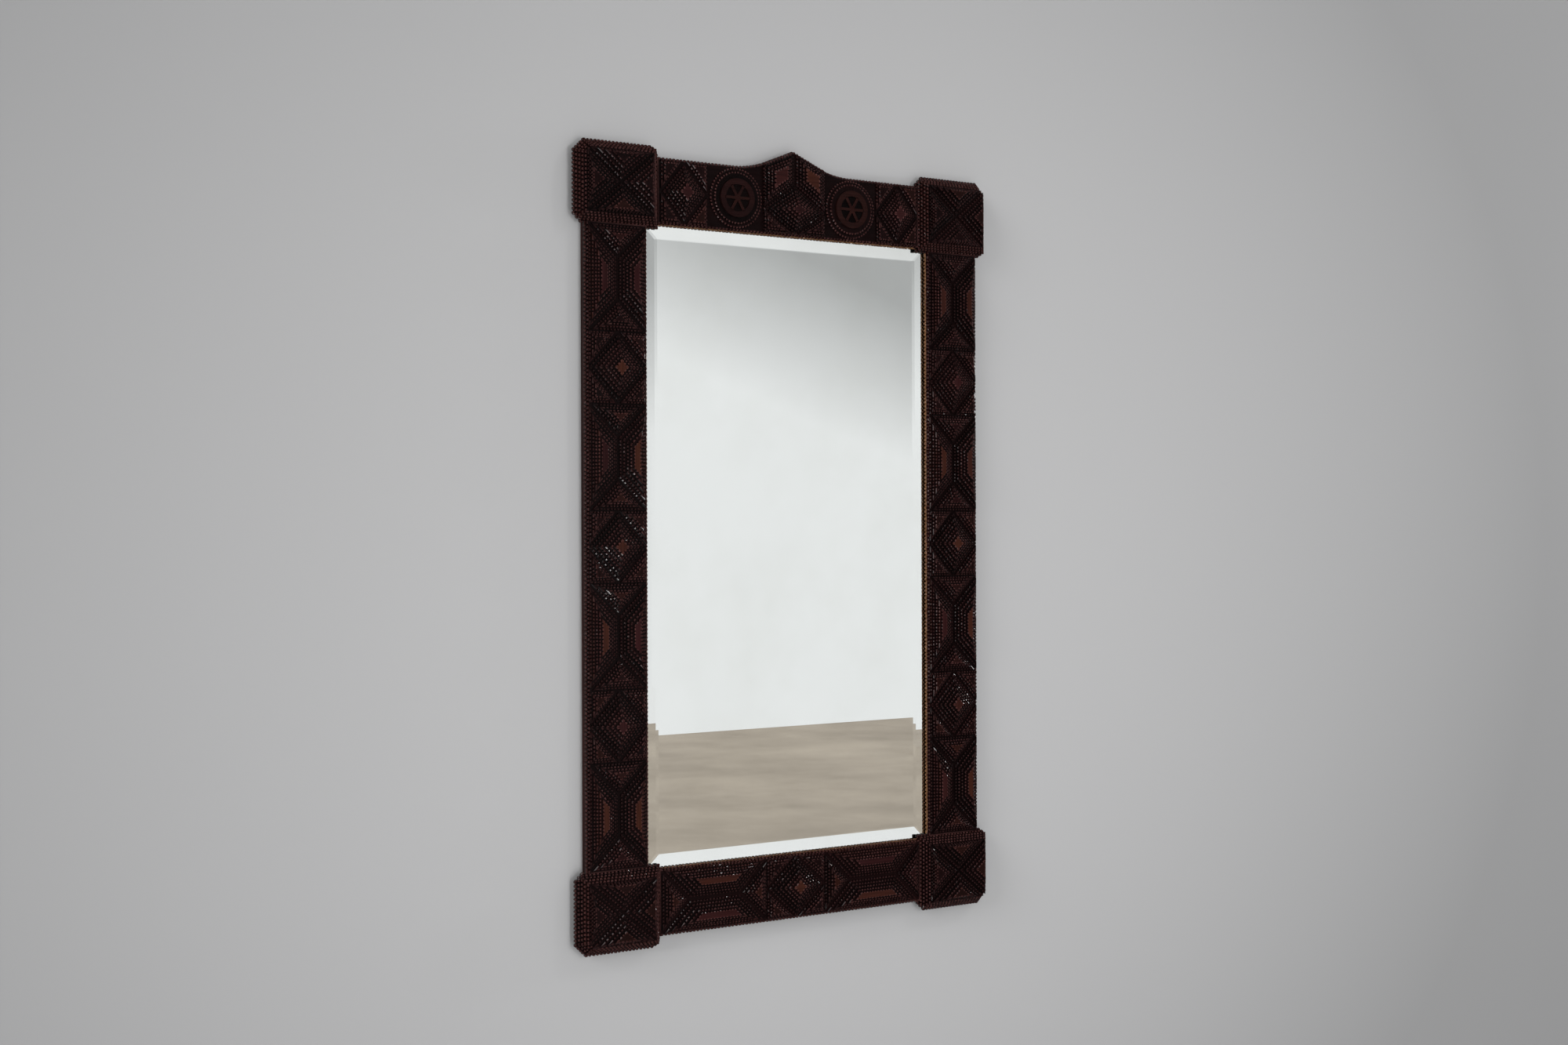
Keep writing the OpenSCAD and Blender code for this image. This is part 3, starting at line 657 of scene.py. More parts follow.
def carve(node, layers, pitch, scene, rings=()):
    """Cut all layers and plain rings of one node and join them in the piece that stands for it.

    The seed of its uneven cuts comes from the node's own name.
    """
    sizes = scene.frame_notches
    rng = np.random.default_rng([sizes.seed] + list(node.encode()))
    solid = Solid()
    for layer in layers:
        add_layer(solid, layer, pitch, sizes, rng)
    for ring in rings:
        add_ring(solid, rng, *ring)
    name = node + "_carved"
    piece = add_piece(name, solid.mesh(name), wood(scene))
    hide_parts(node)


# Materials


def opaque(value):
    """A colour with full alpha; a socket stays as it is."""
    if isinstance(value, bpy.types.NodeSocket):
        return value
    return (*value, 1.0)


class Finish:
    """The node tree of a material or a world, with short ways to add its nodes."""

    def __init__(self, owner, output):
        owner.use_nodes = True
        self.owner = owner
        self.tree = owner.node_tree
        self.tree.nodes.clear()
        self.output = self.tree.nodes.new(output)

    def add(self, kind, inputs=None, **settings):
        """The outputs of a new node; an input is linked if it is a socket and set otherwise."""
        made = self.tree.nodes.new(kind)
        for name, value in settings.items():
            setattr(made, name, value)
        for key, value in (inputs or {}).items():
            if isinstance(value, bpy.types.NodeSocket):
                self.tree.links.new(value, made.inputs[key])
            else:
                made.inputs[key].default_value = value
        return made.outputs

    def mix(self, factor, a, b, mode="MIX"):
        """A mix of two colours."""
        inputs = {0: factor, 6: opaque(a), 7: opaque(b)}
        return self.add("ShaderNodeMix", inputs, data_type="RGBA", blend_type=mode)[2]

    def darkened(self, base, factor):
        """A colour times one factor."""
        tone = self.add("ShaderNodeCombineColor", {0: factor, 1: factor, 2: factor})[0]
        return self.mix(1.0, base, tone, "MULTIPLY")

    def reckon(self, operation, a, b, clamp=False):
        """The result of one sum."""
        return self.add("ShaderNodeMath", {0: a, 1: b}, operation=operation, use_clamp=clamp)[0]

    def times(self, a, b):
        """a * b."""
        return self.reckon("MULTIPLY", a, b)

    def plus(self, a, b, b_share):
        """a + b_share * b."""
        return self.reckon("ADD", a, self.times(b, b_share))

    def spread(self, value, low, high, to_low=0.0, to_high=1.0):
        """A value moved from one range to another, held at its ends."""
        inputs = {"Value": value, "From Min": low, "From Max": high, "To Min": to_low, "To Max": to_high}
        return self.add("ShaderNodeMapRange", inputs)["Result"]

    def place(self):
        """Places on the object."""
        return self.add("ShaderNodeTexCoord")["Object"]

    def shifted(self, place, start):
        """Places moved by a start."""
        return self.add("ShaderNodeMapping", {"Vector": place, "Location": start})["Vector"]

    def noise(self, place, scale, detail=4.0, roughness=0.55):
        """The value of a noise texture."""
        inputs = {"Vector": place, "Scale": scale, "Detail": detail, "Roughness": roughness}
        return self.add("ShaderNodeTexNoise", inputs)["Fac"]

    def streaks(self, place, stretch, detail=4.0, roughness=0.55):
        """Noise with its own scale along each axis."""
        drawn = self.add("ShaderNodeMapping", {"Vector": place, "Scale": stretch})["Vector"]
        return self.noise(drawn, 1.0, detail, roughness)

    def bump(self, height, strength, distance):
        """The normal of a surface that rises and falls by a height."""
        inputs = {"Strength": strength, "Distance": distance, "Height": height}
        return self.add("ShaderNodeBump", inputs)["Normal"]

    def close(self, kind, inputs):
        """Add the last shader, link it to the surface and give back the material or world."""
        self.tree.links.new(self.add(kind, inputs)[0], self.output.inputs["Surface"])
        return self.owner


def new_finish(name):
    """The empty finish of a new material."""
    return Finish(bpy.data.materials.new(name), "ShaderNodeOutputMaterial")


def shellacked_wood(colours):
    """Old shellacked layers: dark red-brown fibre, plain plates redder, teeth rubbed and lit by a painted
    highlight, roots nearly black with painted shade.

    The piece's own look gives each place its tint, how plain it is, with a painted glow on the inner strip
    edges, and how light it is painted, from painted shade to a painted highlight.
    """
    made = new_finish(CARVED_WOOD)
    look = made.add("ShaderNodeAttribute", attribute_name="look")["Color"]
    parts = made.add("ShaderNodeSeparateColor", {"Color": look})
    tint, plain, painted_light_and_rub = parts[0], parts[1], parts[2]
    place = made.add("ShaderNodeAttribute", attribute_name="grain")["Vector"]
    fibre = made.streaks(place, LAYER_FIBRE, detail=5.0, roughness=0.62)
    bands = made.streaks(place, LAYER_BANDS, detail=3.0, roughness=0.5)
    patches = made.noise(place, 55.0, roughness=0.6)
    body = made.plus(made.times(tint, 0.55), bands, 0.6)
    base = made.mix(made.spread(body, 0.2, 0.95), colours.deep, colours.red)
    clean = made.plus(made.times(tint, 0.45), bands, 0.8)
    plate = made.mix(made.spread(tint, 0.3, 0.7), colours.rose, colours.plate)
    flat = made.mix(made.spread(clean, 0.3, 0.9), colours.red, plate)
    # Plain plates and worn sides lean to the plate colour; on the outer strip sides this is partly painted
    # light
    base = made.mix(made.spread(plain, 0.0, 1.0), base, flat)
    # Edges worn past 1 take the strip edge colour: rubbed wood and a painted glow of the mirror's light
    base = made.mix(made.spread(plain, 1.0, 2.0), base, colours.edge)
    # The tooth tips take the worn colour: real rubbing and a painted highlight
    highlight_and_rub = made.times(made.spread(painted_light_and_rub, 0.45, 0.9), made.spread(patches, 0.32, 0.66, 0.3, 1.0))
    base = made.mix(made.times(highlight_and_rub, 0.75), base, colours.worn)
    # Painted shade: corners, feet and low layers darken the colour, along with the fibre's own streaks
    shade = made.times(made.spread(fibre, 0.3, 0.7, 0.62, 1.25), made.spread(painted_light_and_rub, 0.0, 0.55, 0.26, 1.0))
    return made.close(PRINCIPLED, {
        "Base Color": made.darkened(base, shade),
        "Roughness": made.plus(made.spread(patches, 0.3, 0.7, 0.26, 0.42), fibre, 0.08),
        "Normal": made.bump(fibre, 0.35, 0.4 * MM),
        "Specular IOR Level": 0.06,
        "Coat Weight": 0.24,
        "Coat Roughness": 0.09,
    })


def board_wood(name, colours, along):
    """Carcass boards: stained on the outside, raw and sawn at the back, which faces +Y."""
    made = new_finish(name)
    place = made.place()
    fibre = made.streaks(place, BOARD_FIBRE[along], detail=6.0, roughness=0.6)
    lines = made.spread(fibre, 0.3, 0.7)
    patches = made.noise(place, 14.0, roughness=0.6)
    normal = made.add("ShaderNodeNewGeometry")["Normal"]
    facing = made.add("ShaderNodeSeparateXYZ", {"Vector": normal})["Y"]
    raw = made.mix(lines, [0.55 * c for c in colours.raw], colours.raw)
    raw = made.mix(made.spread(patches, 0.35, 0.75, 0.0, 0.6), raw, colours.carcass)
    stain = made.mix(lines, colours.deep, colours.carcass)
    return made.close(PRINCIPLED, {
        "Base Color": made.mix(made.spread(facing, 0.4, 0.6), stain, raw),
        "Roughness": made.spread(facing, 0.4, 0.6, 0.5, 0.85),
        "Normal": made.bump(fibre, 0.4, 0.6 * MM),
        "Specular IOR Level": 0.05,
    })


def old_pine(name, colours, offset, tone):
    """Back planks: old pine with long growth bands, fine fibre, saw lines and dust, each of its own tone."""
    made = new_finish(name)
    place = made.shifted(made.place(), (offset, 0.0, PLANK_RISE * offset))
    bend = made.spread(made.streaks(place, PINE_BEND, detail=2.0), 0.0, 1.0, -0.03, 0.03)
    bent = made.add("ShaderNodeCombineXYZ", {"Z": bend})["Vector"]
    moved = made.add("ShaderNodeVectorMath", {0: place, 1: bent}, operation="ADD")["Vector"]
    bands = made.streaks(moved, PINE_BANDS, detail=3.0, roughness=0.5)
    fibre = made.streaks(place, PINE_FIBRE, detail=5.0, roughness=0.6)
    saw = made.streaks(place, PINE_SAW, detail=2.0)
    dust = made.noise(place, 9.0, detail=5.0, roughness=0.6)
    light = [tone * c for c in colours.pine]
    base = made.mix(made.spread(bands, 0.36, 0.68), light, [0.62 * c for c in light])
    base = made.mix(made.spread(fibre, 0.35, 0.7, 0.0, 0.35), base, colours.raw)
    base = made.mix(made.spread(dust, 0.45, 0.75, 0.0, 0.5), base, colours.raw)
    return made.close(PRINCIPLED, {
        "Base Color": base,
        "Roughness": 0.82,
        "Normal": made.bump(made.plus(fibre, saw, 0.8), 0.35, 0.6 * MM),
    })


def old_iron(colours):
    """Blackened iron with rust in patches."""
    made = new_finish("old_iron")
    place = made.place()
    patches = made.noise(place, 160.0, detail=6.0, roughness=0.65)
    rust = made.spread(patches, 0.48, 0.62)
    return made.close(PRINCIPLED, {
        "Base Color": made.mix(rust, colours.iron, colours.rust),
        "Metallic": made.spread(rust, 0.0, 1.0, 0.85, 0.1),
        "Roughness": made.spread(patches, 0.3, 0.7, 0.42, 0.8),
        "Normal": made.bump(made.noise(place, 1400.0, detail=3.0), 0.3, 0.3 * MM),
    })


def plate_glass():
    """Old plate glass: clear, very slightly green, with a faint waviness."""
    made = new_finish("plate_glass")
    wave = made.noise(made.place(), 2.2, detail=1.0, roughness=0.4)
    return made.close(PRINCIPLED, {
        "Base Color": opaque(GLASS_TINT),
        "Roughness": 0.0,
        "IOR": 1.52,
        "Transmission Weight": 1.0,
        "Normal": made.bump(wave, 0.02, 4.0 * MM),
    })


def silvering():
    """Old silvering: a bright metal sheet with a few faint cloudy patches."""
    made = new_finish("silvering")
    cloud = made.noise(made.place(), 5.0, roughness=0.6)
    return made.close(PRINCIPLED, {
        "Base Color": made.mix(made.spread(cloud, 0.45, 0.8), SILVER, CLOUDED_SILVER),
        "Metallic": 1.0,
        "Roughness": 0.0,
    })


def room_surface(name, rgb, mottle, glow=False, dim=None, fade=None):
    """A matt surface of the room, which may glow by itself as a backdrop.

    It shows only to rays that meet its front, and a glowing one only to the camera's and the glass's rays.
    dim gives a far end, where a glowing surface fades to a share of its colour as painted shade: (slope along
    x, start, end, share), measured on z + slope * x. fade = (x0, k, m, least) darkens a surface away from x0
    as painted shade for the falloff of the light, by the factor 1 - k * (x - x0)^2 - m * z^2, down to the
    least.
    """
    made = new_finish(name)
    place = made.place()
    cloud = made.noise(place, 1.1, detail=5.0, roughness=0.6)
    base = made.mix(made.spread(cloud, 0.32, 0.68), [(1.0 - mottle) * c for c in rgb], rgb)
    axes = made.add("ShaderNodeSeparateXYZ", {"Vector": place})
    # Painted shade: the colour darkens away from x0, standing for the falloff of the lamps' light
    if fade:
        x0, k, m, least = fade
        away = made.reckon("SUBTRACT", axes["X"], x0)
        lost = made.plus(made.times(made.times(away, away), k), made.times(axes["Z"], axes["Z"]), m)
        base = made.darkened(base, made.reckon("MAXIMUM", made.reckon("SUBTRACT", 1.0, lost), least))
    light = 1.0
    # Painted shade: the glow fades towards the far end, standing for falloff and a soft shadow there
    if dim:
        slope, start, end, share_left = dim
        light = made.spread(made.plus(axes["Z"], axes["X"], slope), start, end, 1.0, share_left)
    kinds = ["Transmission"]
    if glow:
        matt = made.add("ShaderNodeEmission", {"Color": base, "Strength": light})[0]
    else:
        matt = made.add("ShaderNodeBsdfDiffuse", {"Color": base})[0]
        kinds = kinds + ["Glossy", "Diffuse"]
    rays = made.add("ShaderNodeLightPath")
    seen = rays["Is Camera Ray"]
    for kind in kinds:
        seen = made.reckon("MAXIMUM", seen, rays[f"Is {kind} Ray"])
    behind = made.add("ShaderNodeNewGeometry")["Backfacing"]
    front = made.reckon("SUBTRACT", seen, behind, clamp=True)
    clear = made.add("ShaderNodeBsdfTransparent")[0]
    return made.close("ShaderNodeMixShader", {0: front, 1: clear, 2: matt})


def wood(scene):
    """The shellacked wood, made once."""
    found = bpy.data.materials.get(CARVED_WOOD)
    return found or shellacked_wood(scene.frame_finishes)


# Shapes of the frame, read from the CAD boxes


def box_xz(node):
    """The X and Z ranges of a CAD node, and its range of d."""
    low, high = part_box(node)
    return (low.x, high.x), (low.z, high.z), (-high.y, -low.y)


def half_of(span):
    """Half the length of a range."""
    return (span[1] - span[0]) / 2


def rectangle(x, z):
    """The corners of a rectangle, from the lower left."""
    return np.array([[x[0], z[0]], [x[1], z[0]], [x[1], z[1]], [x[0], z[1]]])


def middle_of(node):
    """The middle of a CAD node in X and Z."""
    x, z, _ = box_xz(node)
    return np.array([(x[0] + x[1]) / 2, (z[0] + z[1]) / 2])


def mirrored_sides(right, low_z):
    """Sides of an outline that is even about X = 0: a level foot, a right-hand run and its mirror image.

    The right-hand run goes from its outer end to the peak.
    """
    left = right[::-1] * (-1, 1)
    low = np.array([[left[-1, 0], low_z], [right[0, 0], low_z]])
    return [low, np.array([low[1], right[0]]), right, left, np.array([left[-1], low[0]])]


def crest_sides(half_l, low_z, rail_top, peak_h, i, sizes, sweep_points=24):
    """The outline of the top rail set in by i along its upper edge.

    The slope falls from the peak at the angle atan(peak_h / crest_half_w). A circle of radius sweep + i about
    (foot_x, rail_top + sweep) carries it into the level edge, with foot_x = half_w + sweep * tan(angle / 2).
    """
    slope = math.atan(peak_h / sizes.crest_half_w)
    foot_x = sizes.crest_half_w + sizes.crest_sweep_r * math.tan(slope / 2)
    radius = sizes.crest_sweep_r + i
    angle = np.linspace(0.0, slope, sweep_points)
    sweep = np.stack((foot_x - radius * np.sin(angle),
                      rail_top + sizes.crest_sweep_r - radius * np.cos(angle)), axis=1)
    peak = np.array([[0.0, rail_top + peak_h - i / math.cos(slope)]])
    return mirrored_sides(np.vstack(([[half_l, rail_top - i]], sweep, peak)), low_z)


def crest_sizes():
    """The level top of the top rail and the height of the peak above it."""
    x = box_xz("lower_strip_right")[0]
    z = box_xz("lower_strip_top")[1]
    rail_top = z[0] + (x[1] - x[0])
    return rail_top, z[1] - rail_top


def hourglass_layers(half_l, half_w, d, t, sizes):
    """Two long stacks and two end triangles, with their length along Z about the middle.

    Both reach to the middle of the seam. A long stack's outline has corners (0, -apex), (w, -reach),
    (w, reach) and (0, apex), with apex = reach - w, set in by half a valley at its ends and inner side. An
    end triangle fills the notch between them.
    """
    reach = half_l + sizes.seam / 2
    apex = reach - half_w
    gap = sizes.valley / 2
    long_outline = inset(np.array([[0.0, -apex], [half_w, -reach], [half_w, reach], [0.0, apex]]),
                         np.array([gap, 0.0, gap, gap]))
    end_outline = inset(np.array([[-half_w, reach], [0.0, apex], [half_w, reach]]),
                        np.array([gap, gap, sizes.seam / 2]))
    long_steps = [sizes.roof_step_end, sizes.roof_step_out, sizes.roof_step_end, sizes.roof_step_in]
    long_stack = stack(long_outline, long_steps, sizes.roof_layers, d, t, wear_and_light=LONG_WEAR)
    end_stack = stack(end_outline, [sizes.gable_step] * 3, sizes.gable_layers, d, t, GABLE_PLAIN, "x")
    made = long_stack + [layer.moved(HALF_TURN) for layer in long_stack]
    return made + end_stack + [layer.moved(flip=(1, -1)) for layer in end_stack]


def corner_triangles(edge_x, edge_z, layers, d, t, sizes, corners=CORNERS):
    """The stacks between a diamond and the corners of its panel."""
    gap = sizes.corner_gap
    outline = [[edge_x, gap], [edge_x, edge_z], [gap, edge_z]]
    made = stack(outline, [sizes.corner_step] * 3, layers, d, t, CORNER_PLAIN)
    return [layer.moved(flip=FLIPS[corner]) for corner in corners for layer in made]


def diamond_layers(half_l, half_w, d, t, sizes):
    """A diamond stack and its four corner triangles, with the length along Z about the middle."""
    points = diamond_points(half_w, half_l - sizes.diamond_tip_gap + sizes.seam / 2)
    made = stack(points, [sizes.diamond_step] * 4, sizes.diamond_layers, d, t)
    return made + corner_triangles(half_w, half_l, sizes.corner_layers, d, t, sizes)


def placed(layers, middle, on_side=False):
    """Layers moved to the middle of their panel, turned a quarter with their grain if it lies on its side."""
    turn = QUARTER_TURN if on_side else None
    made = [layer.moved(turn, shift=middle) for layer in layers]
    if on_side:
        made = [dataclasses.replace(layer, grain="x" if layer.grain == "z" else "z") for layer in made]
    return made


def carve_panels(scene, word, layers, shape):
    """Cut all panels of one kind on the stiles and on the bottom rail, where they lie on their side.

    shape gives a panel's layers from its half-length, half-width, start in depth and layer thickness.
    """
    names = [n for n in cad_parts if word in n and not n.startswith("top")]
    if not names:
        raise RuntimeError(f"the frame has no {word} panels")
    for node in names:
        x, z, d = box_xz(node)
        on_side = node.startswith("bottom")
        span, width = (x, z) if on_side else (z, x)
        made = shape(half_of(span), half_of(width), d[0], (d[1] - d[0]) / layers, scene.frame_stacks)
        carve(node, placed(made, middle_of(node), on_side), scene.frame_notches.layer_pitch, scene)


# Operators


class FRAME_OT_strips(bpy.types.Operator):
    """Cut the notched lower and upper strips"""

    bl_idname = "frame.strips"
    bl_label = "Notched strips"

    def execute(self, context):
        scene = context.scene
        sizes = scene.frame_stacks
        pitch = scene.frame_notches.strip_pitch
        rail_top, peak_h = crest_sizes()
        base_low = box_xz("lower_strip_top")[1][0]
        for level in ("lower", "upper"):
            for place, inner in INNER_SIDE.items():
                node = f"{level}_strip_{place}"
                x, z, d = box_xz(node)
                upright = place != "bottom"
                # Outer sides painted a little lighter, partly rubbing and partly painted light; the inner
                # side rubbed and painted with a glow of the mirror's light
                wear_and_light = [OUTER_WEAR_AND_LIGHT] * 4
                wear_and_light[inner] = INNER_WEAR_AND_GLOW[level] * (1.0 if upright else LOW_RUB_AND_GLOW)
                strip = Layer(edges_of(rectangle(x, z)), d[0], d[1] - d[0],
                              notched=[not upright, upright, not upright, upright],
                              grain="z" if upright else "x", wear_and_light=wear_and_light, tread=STRIP_TREAD, clean=STRIP_LIGHTNESS)
                carve(node, [strip], pitch, scene)
            node = f"{level}_strip_top"
            x, z, d = box_xz(node)
            sides = crest_sides(x[1], z[0], rail_top, peak_h, z[0] - base_low, sizes)
            # Its lower side borders the opening: rubbed and painted with a glow of the mirror's light; the
            # outer sides painted a little lighter
            strip = Layer(sides, d[0], d[1] - d[0], notched=[True, False, True, True, False], grain="x",
                          wear_and_light=[INNER_WEAR_AND_GLOW[level]] + [OUTER_WEAR_AND_LIGHT] * 4, tread=STRIP_TREAD, clean=STRIP_LIGHTNESS)
            carve(node, [strip], pitch, scene)
        return {"FINISHED"}


class FRAME_OT_hourglasses(bpy.types.Operator):
    """Cut the hourglass panels of the stiles and the bottom rail"""

    bl_idname = "frame.hourglasses"
    bl_label = "Hourglass panels"

    def execute(self, context):
        scene = context.scene
        carve_panels(scene, "hourglass", scene.frame_stacks.roof_layers, hourglass_layers)
        return {"FINISHED"}


class FRAME_OT_diamonds(bpy.types.Operator):
    """Cut the diamond panels of the stiles and the bottom rail"""

    bl_idname = "frame.diamonds"
    bl_label = "Diamond panels"

    def execute(self, context):
        scene = context.scene
        carve_panels(scene, "_diamond", scene.frame_stacks.diamond_layers, diamond_layers)
        return {"FINISHED"}


class FRAME_OT_top_diamonds(bpy.types.Operator):
    """Cut the two small diamond panels of the top rail"""

    bl_idname = "frame.top_diamonds"
    bl_label = "Small diamond panels"

    def execute(self, context):
        scene = context.scene
        sizes = scene.frame_stacks
        for side in SIDES:
            node = f"top_diamond_{side}"
            x, z, d = box_xz(node)
            t = (d[1] - d[0]) / sizes.small_layers
            half_x = half_of(x)
            half_z = half_of(z)
            points = diamond_points(half_x + sizes.seam - sizes.small_tip_gap, half_z - sizes.small_tip_gap)
            made = stack(points, [sizes.small_step] * 4, sizes.small_layers, d[0], t, grain="x")
            made = made + corner_triangles(half_x, half_z, sizes.corner_layers - 1, d[0], t, sizes)
            carve(node, placed(made, middle_of(node)), scene.frame_notches.layer_pitch, scene)
        return {"FINISHED"}


class FRAME_OT_crest_panel(bpy.types.Operator):
    """Cut the panel under the peak: a base plate, a diamond, two slabs and two corner triangles"""

    bl_idname = "frame.crest_panel"
    bl_label = "Crest panel"

    def execute(self, context):
        scene = context.scene
        sizes = scene.frame_stacks
        node = "crest_panel"
        x, z, d = box_xz(node)
        t = (d[1] - d[0]) / (sizes.diamond_layers + 1)
        rail_top, peak_h = crest_sizes()
        slope = math.atan(peak_h / sizes.crest_half_w)
        base_step = (rail_top + peak_h - z[1]) * math.cos(slope)
        half_x = x[1]
        past_x = half_x + sizes.crest_sweep_r
        outline = crest_sides(past_x, z[0], rail_top, peak_h, base_step, sizes)[2]
        kept = outline[outline[:, 0] < half_x]
        edge_z = float(np.interp(half_x, outline[::-1, 0], outline[::-1, 1]))
        sides = mirrored_sides(np.vstack(([[half_x, edge_z]], kept)), z[0])
        made = [Layer(sides, d[0], t, grain="x")]
        stack_d = d[0] + t
        diamond_z = z[0] + sizes.crest_diamond_half
        diamond = stack(diamond_points(half_x, sizes.crest_diamond_half), [sizes.crest_diamond_step] * 4,
                        sizes.diamond_layers, stack_d, t, grain="x")
        made = made + placed(diamond, (0.0, diamond_z))
        triangles = corner_triangles(half_x, sizes.crest_diamond_half, sizes.corner_layers, stack_d, t, sizes,
                                     ("bottom_left", "bottom_right"))
        made = made + placed(triangles, (0.0, diamond_z))
        away = 1.0 + sizes.valley / 2 * math.hypot(1.0 / half_x, 1.0 / sizes.crest_diamond_half)
        slab_x = sizes.valley / 2
        top_z = rail_top + peak_h - 2.0 * base_step / math.cos(slope)
        fall = math.tan(slope)
        slab = [[half_x, diamond_z + sizes.crest_diamond_half * (away - 1.0)],
                [half_x, top_z - half_x * fall],
                [slab_x, top_z - slab_x * fall],
                [slab_x, diamond_z + sizes.crest_diamond_half * (away - slab_x / half_x)]]
        slabs = stack(slab, [sizes.slab_step] * 4, sizes.slab_layers, stack_d, t, grain="x")
        made = made + slabs + [layer.moved(flip=(-1, 1)) for layer in slabs]
        carve(node, made, scene.frame_notches.layer_pitch, scene)
        return {"FINISHED"}


def circle_run(middle, radius, points=96):
    """A closed circle as one run, counter-clockwise from its right-hand side."""
    angle = np.linspace(0.0, 2.0 * math.pi, points + 1)
    return np.asarray(middle) + radius * np.stack((np.cos(angle), np.sin(angle)), axis=1)


def spoked_outline(middle, sizes):
    """Hub and spokes: for each spoke four corners, w wide and out to the ring, then a point on the hub."""
    half = sizes.spoke_w / 2
    inner = math.sqrt(sizes.hub_r ** 2 - half ** 2)
    outer = sizes.ring_in_r + SPOKE_TUCK
    part = math.pi / sizes.spokes
    one = np.array([[inner, -half], [outer, -half], [outer, half], [inner, half],
                    [sizes.hub_r * math.cos(part), sizes.hub_r * math.sin(part)]])
    angle = np.arange(sizes.spokes) * 2.0 * part
    turns = np.stack((np.stack((np.cos(angle), -np.sin(angle)), axis=1),
                      np.stack((np.sin(angle), np.cos(angle)), axis=1)), axis=1)
    return np.einsum("kij,nj->kni", turns, one).reshape(-1, 2) + middle


class FRAME_OT_wheels(bpy.types.Operator):
    """Cut the two wheels of the top rail: two notched discs, a plain ring, hub and spokes"""

    bl_idname = "frame.wheels"
    bl_label = "Wheels"

    def execute(self, context):
        scene = context.scene
        sizes = scene.frame_stacks
        for side in SIDES:
            node = f"top_wheel_{side}"
            x, z, d = box_xz(node)
            t = (d[1] - d[0]) / WHEEL_LEVELS
            middle = middle_of(node)
            radius = half_of(x)
            low = Layer([circle_run(middle, radius)], d[0], t, closed=True, grain="x")
            second = Layer([circle_run(middle, radius - sizes.wheel_step)], d[0] + t, t, closed=True)
            ring_d = d[0] + 2 * t
            # The disc under the spokes is painted darkest: painted shade in the recess between the spokes
            shaded_ground = Layer([circle_run(middle, sizes.ring_in_r + GROUND_TUCK)], ring_d, t / 2,
                           notched=[False], closed=True, grain="x", tread=0.0)
            spoke_sides = edges_of(spoked_outline(middle, sizes))
            spokes = Layer(spoke_sides, ring_d + t / 2, t / 2, plain=WHEEL_PLAIN,
                           notched=[False] * len(spoke_sides), grain="x", tread=SPOKE_TREAD)
            ring = (middle, sizes.ring_r, sizes.ring_in_r, ring_d, t, WHEEL_PLAIN)
            carve(node, [low, second, shaded_ground, spokes], scene.frame_notches.layer_pitch, scene, [ring])
        return {"FINISHED"}


def block_points(k, x, z, sizes):
    """Layer k of a corner block in the quarter where X and Z are positive.

    The rectangle is set in by k steps. Its outer corner is cut by clip - (2 - sqrt 2) * k * step along each
    side, and the two side corners by side_clip * (1 - k / side_clip_layers) on the lowest layers.
    """
    step = k * sizes.block_step
    x0, x1 = x[0] + step, x[1] - step
    z0, z1 = z[0] + step, z[1] - step
    outer = sizes.block_clip - (2.0 - math.sqrt(2.0)) * step
    side = sizes.side_clip * (1.0 - k / sizes.side_clip_layers)
    low = [[x1 - side, z0], [x1, z0 + side]] if side > 0 else [[x1, z0]]
    high = [[x0 + side, z1], [x0, z1 - side]] if side > 0 else [[x0, z1]]
    return np.array([[x0, z0]] + low + [[x1, z1 - outer], [x1 - outer, z1]] + high)


class FRAME_OT_blocks(bpy.types.Operator):
    """Cut the stepped corner blocks"""

    bl_idname = "frame.blocks"
    bl_label = "Corner blocks"

    def execute(self, context):
        scene = context.scene
        sizes = scene.frame_stacks
        x, z, d = box_xz("corner_block_top_right")
        t = (d[1] - d[0]) / sizes.block_layers
        for corner in CORNERS:
            layers = []
            for k in range(sizes.block_layers):
                sides = edges_of(block_points(k, x, z, sizes))
                layers.append(Layer(sides, d[0] + k * t, t, grain="z" if k % 2 else "x",
                                    wear_and_light=[BLOCK_WEAR] * len(sides)))
            layers = [layer.moved(flip=FLIPS[corner]) for layer in layers]
            carve(f"corner_block_{corner}", layers, scene.frame_notches.strip_pitch, scene)
        return {"FINISHED"}


class FRAME_OT_crosses(bpy.types.Operator):
    """Cut the crosses on the corner blocks: four triangle stacks round an X of grooves"""

    bl_idname = "frame.crosses"
    bl_label = "Corner crosses"

    def execute(self, context):
        scene = context.scene
        sizes = scene.frame_stacks
        x, z, d = box_xz("corner_cross_top_right")
        t = (d[1] - d[0]) / sizes.cross_layers
        groove = sizes.cross_groove / 2
        square = rectangle(x, z)
        middle = square.mean(axis=0)
        made = []
        for i in range(4):
            triangle = np.array([square[i], square[(i + 1) % 4], middle])
            outline = inset(triangle, np.array([0.0, groove, groove]))
            steps = [sizes.cross_step_out, sizes.cross_step_in, sizes.cross_step_in]
            made = made + stack(outline, steps, sizes.cross_layers, d[0], t, CROSS_PLAIN,
                                grain="z" if i % 2 else "x", top_lightness=CROSS_LIGHTNESS)
        for corner in CORNERS:
            layers = [layer.moved(flip=FLIPS[corner]) for layer in made]
            carve(f"corner_cross_{corner}", layers, scene.frame_notches.layer_pitch, scene)
        return {"FINISHED"}


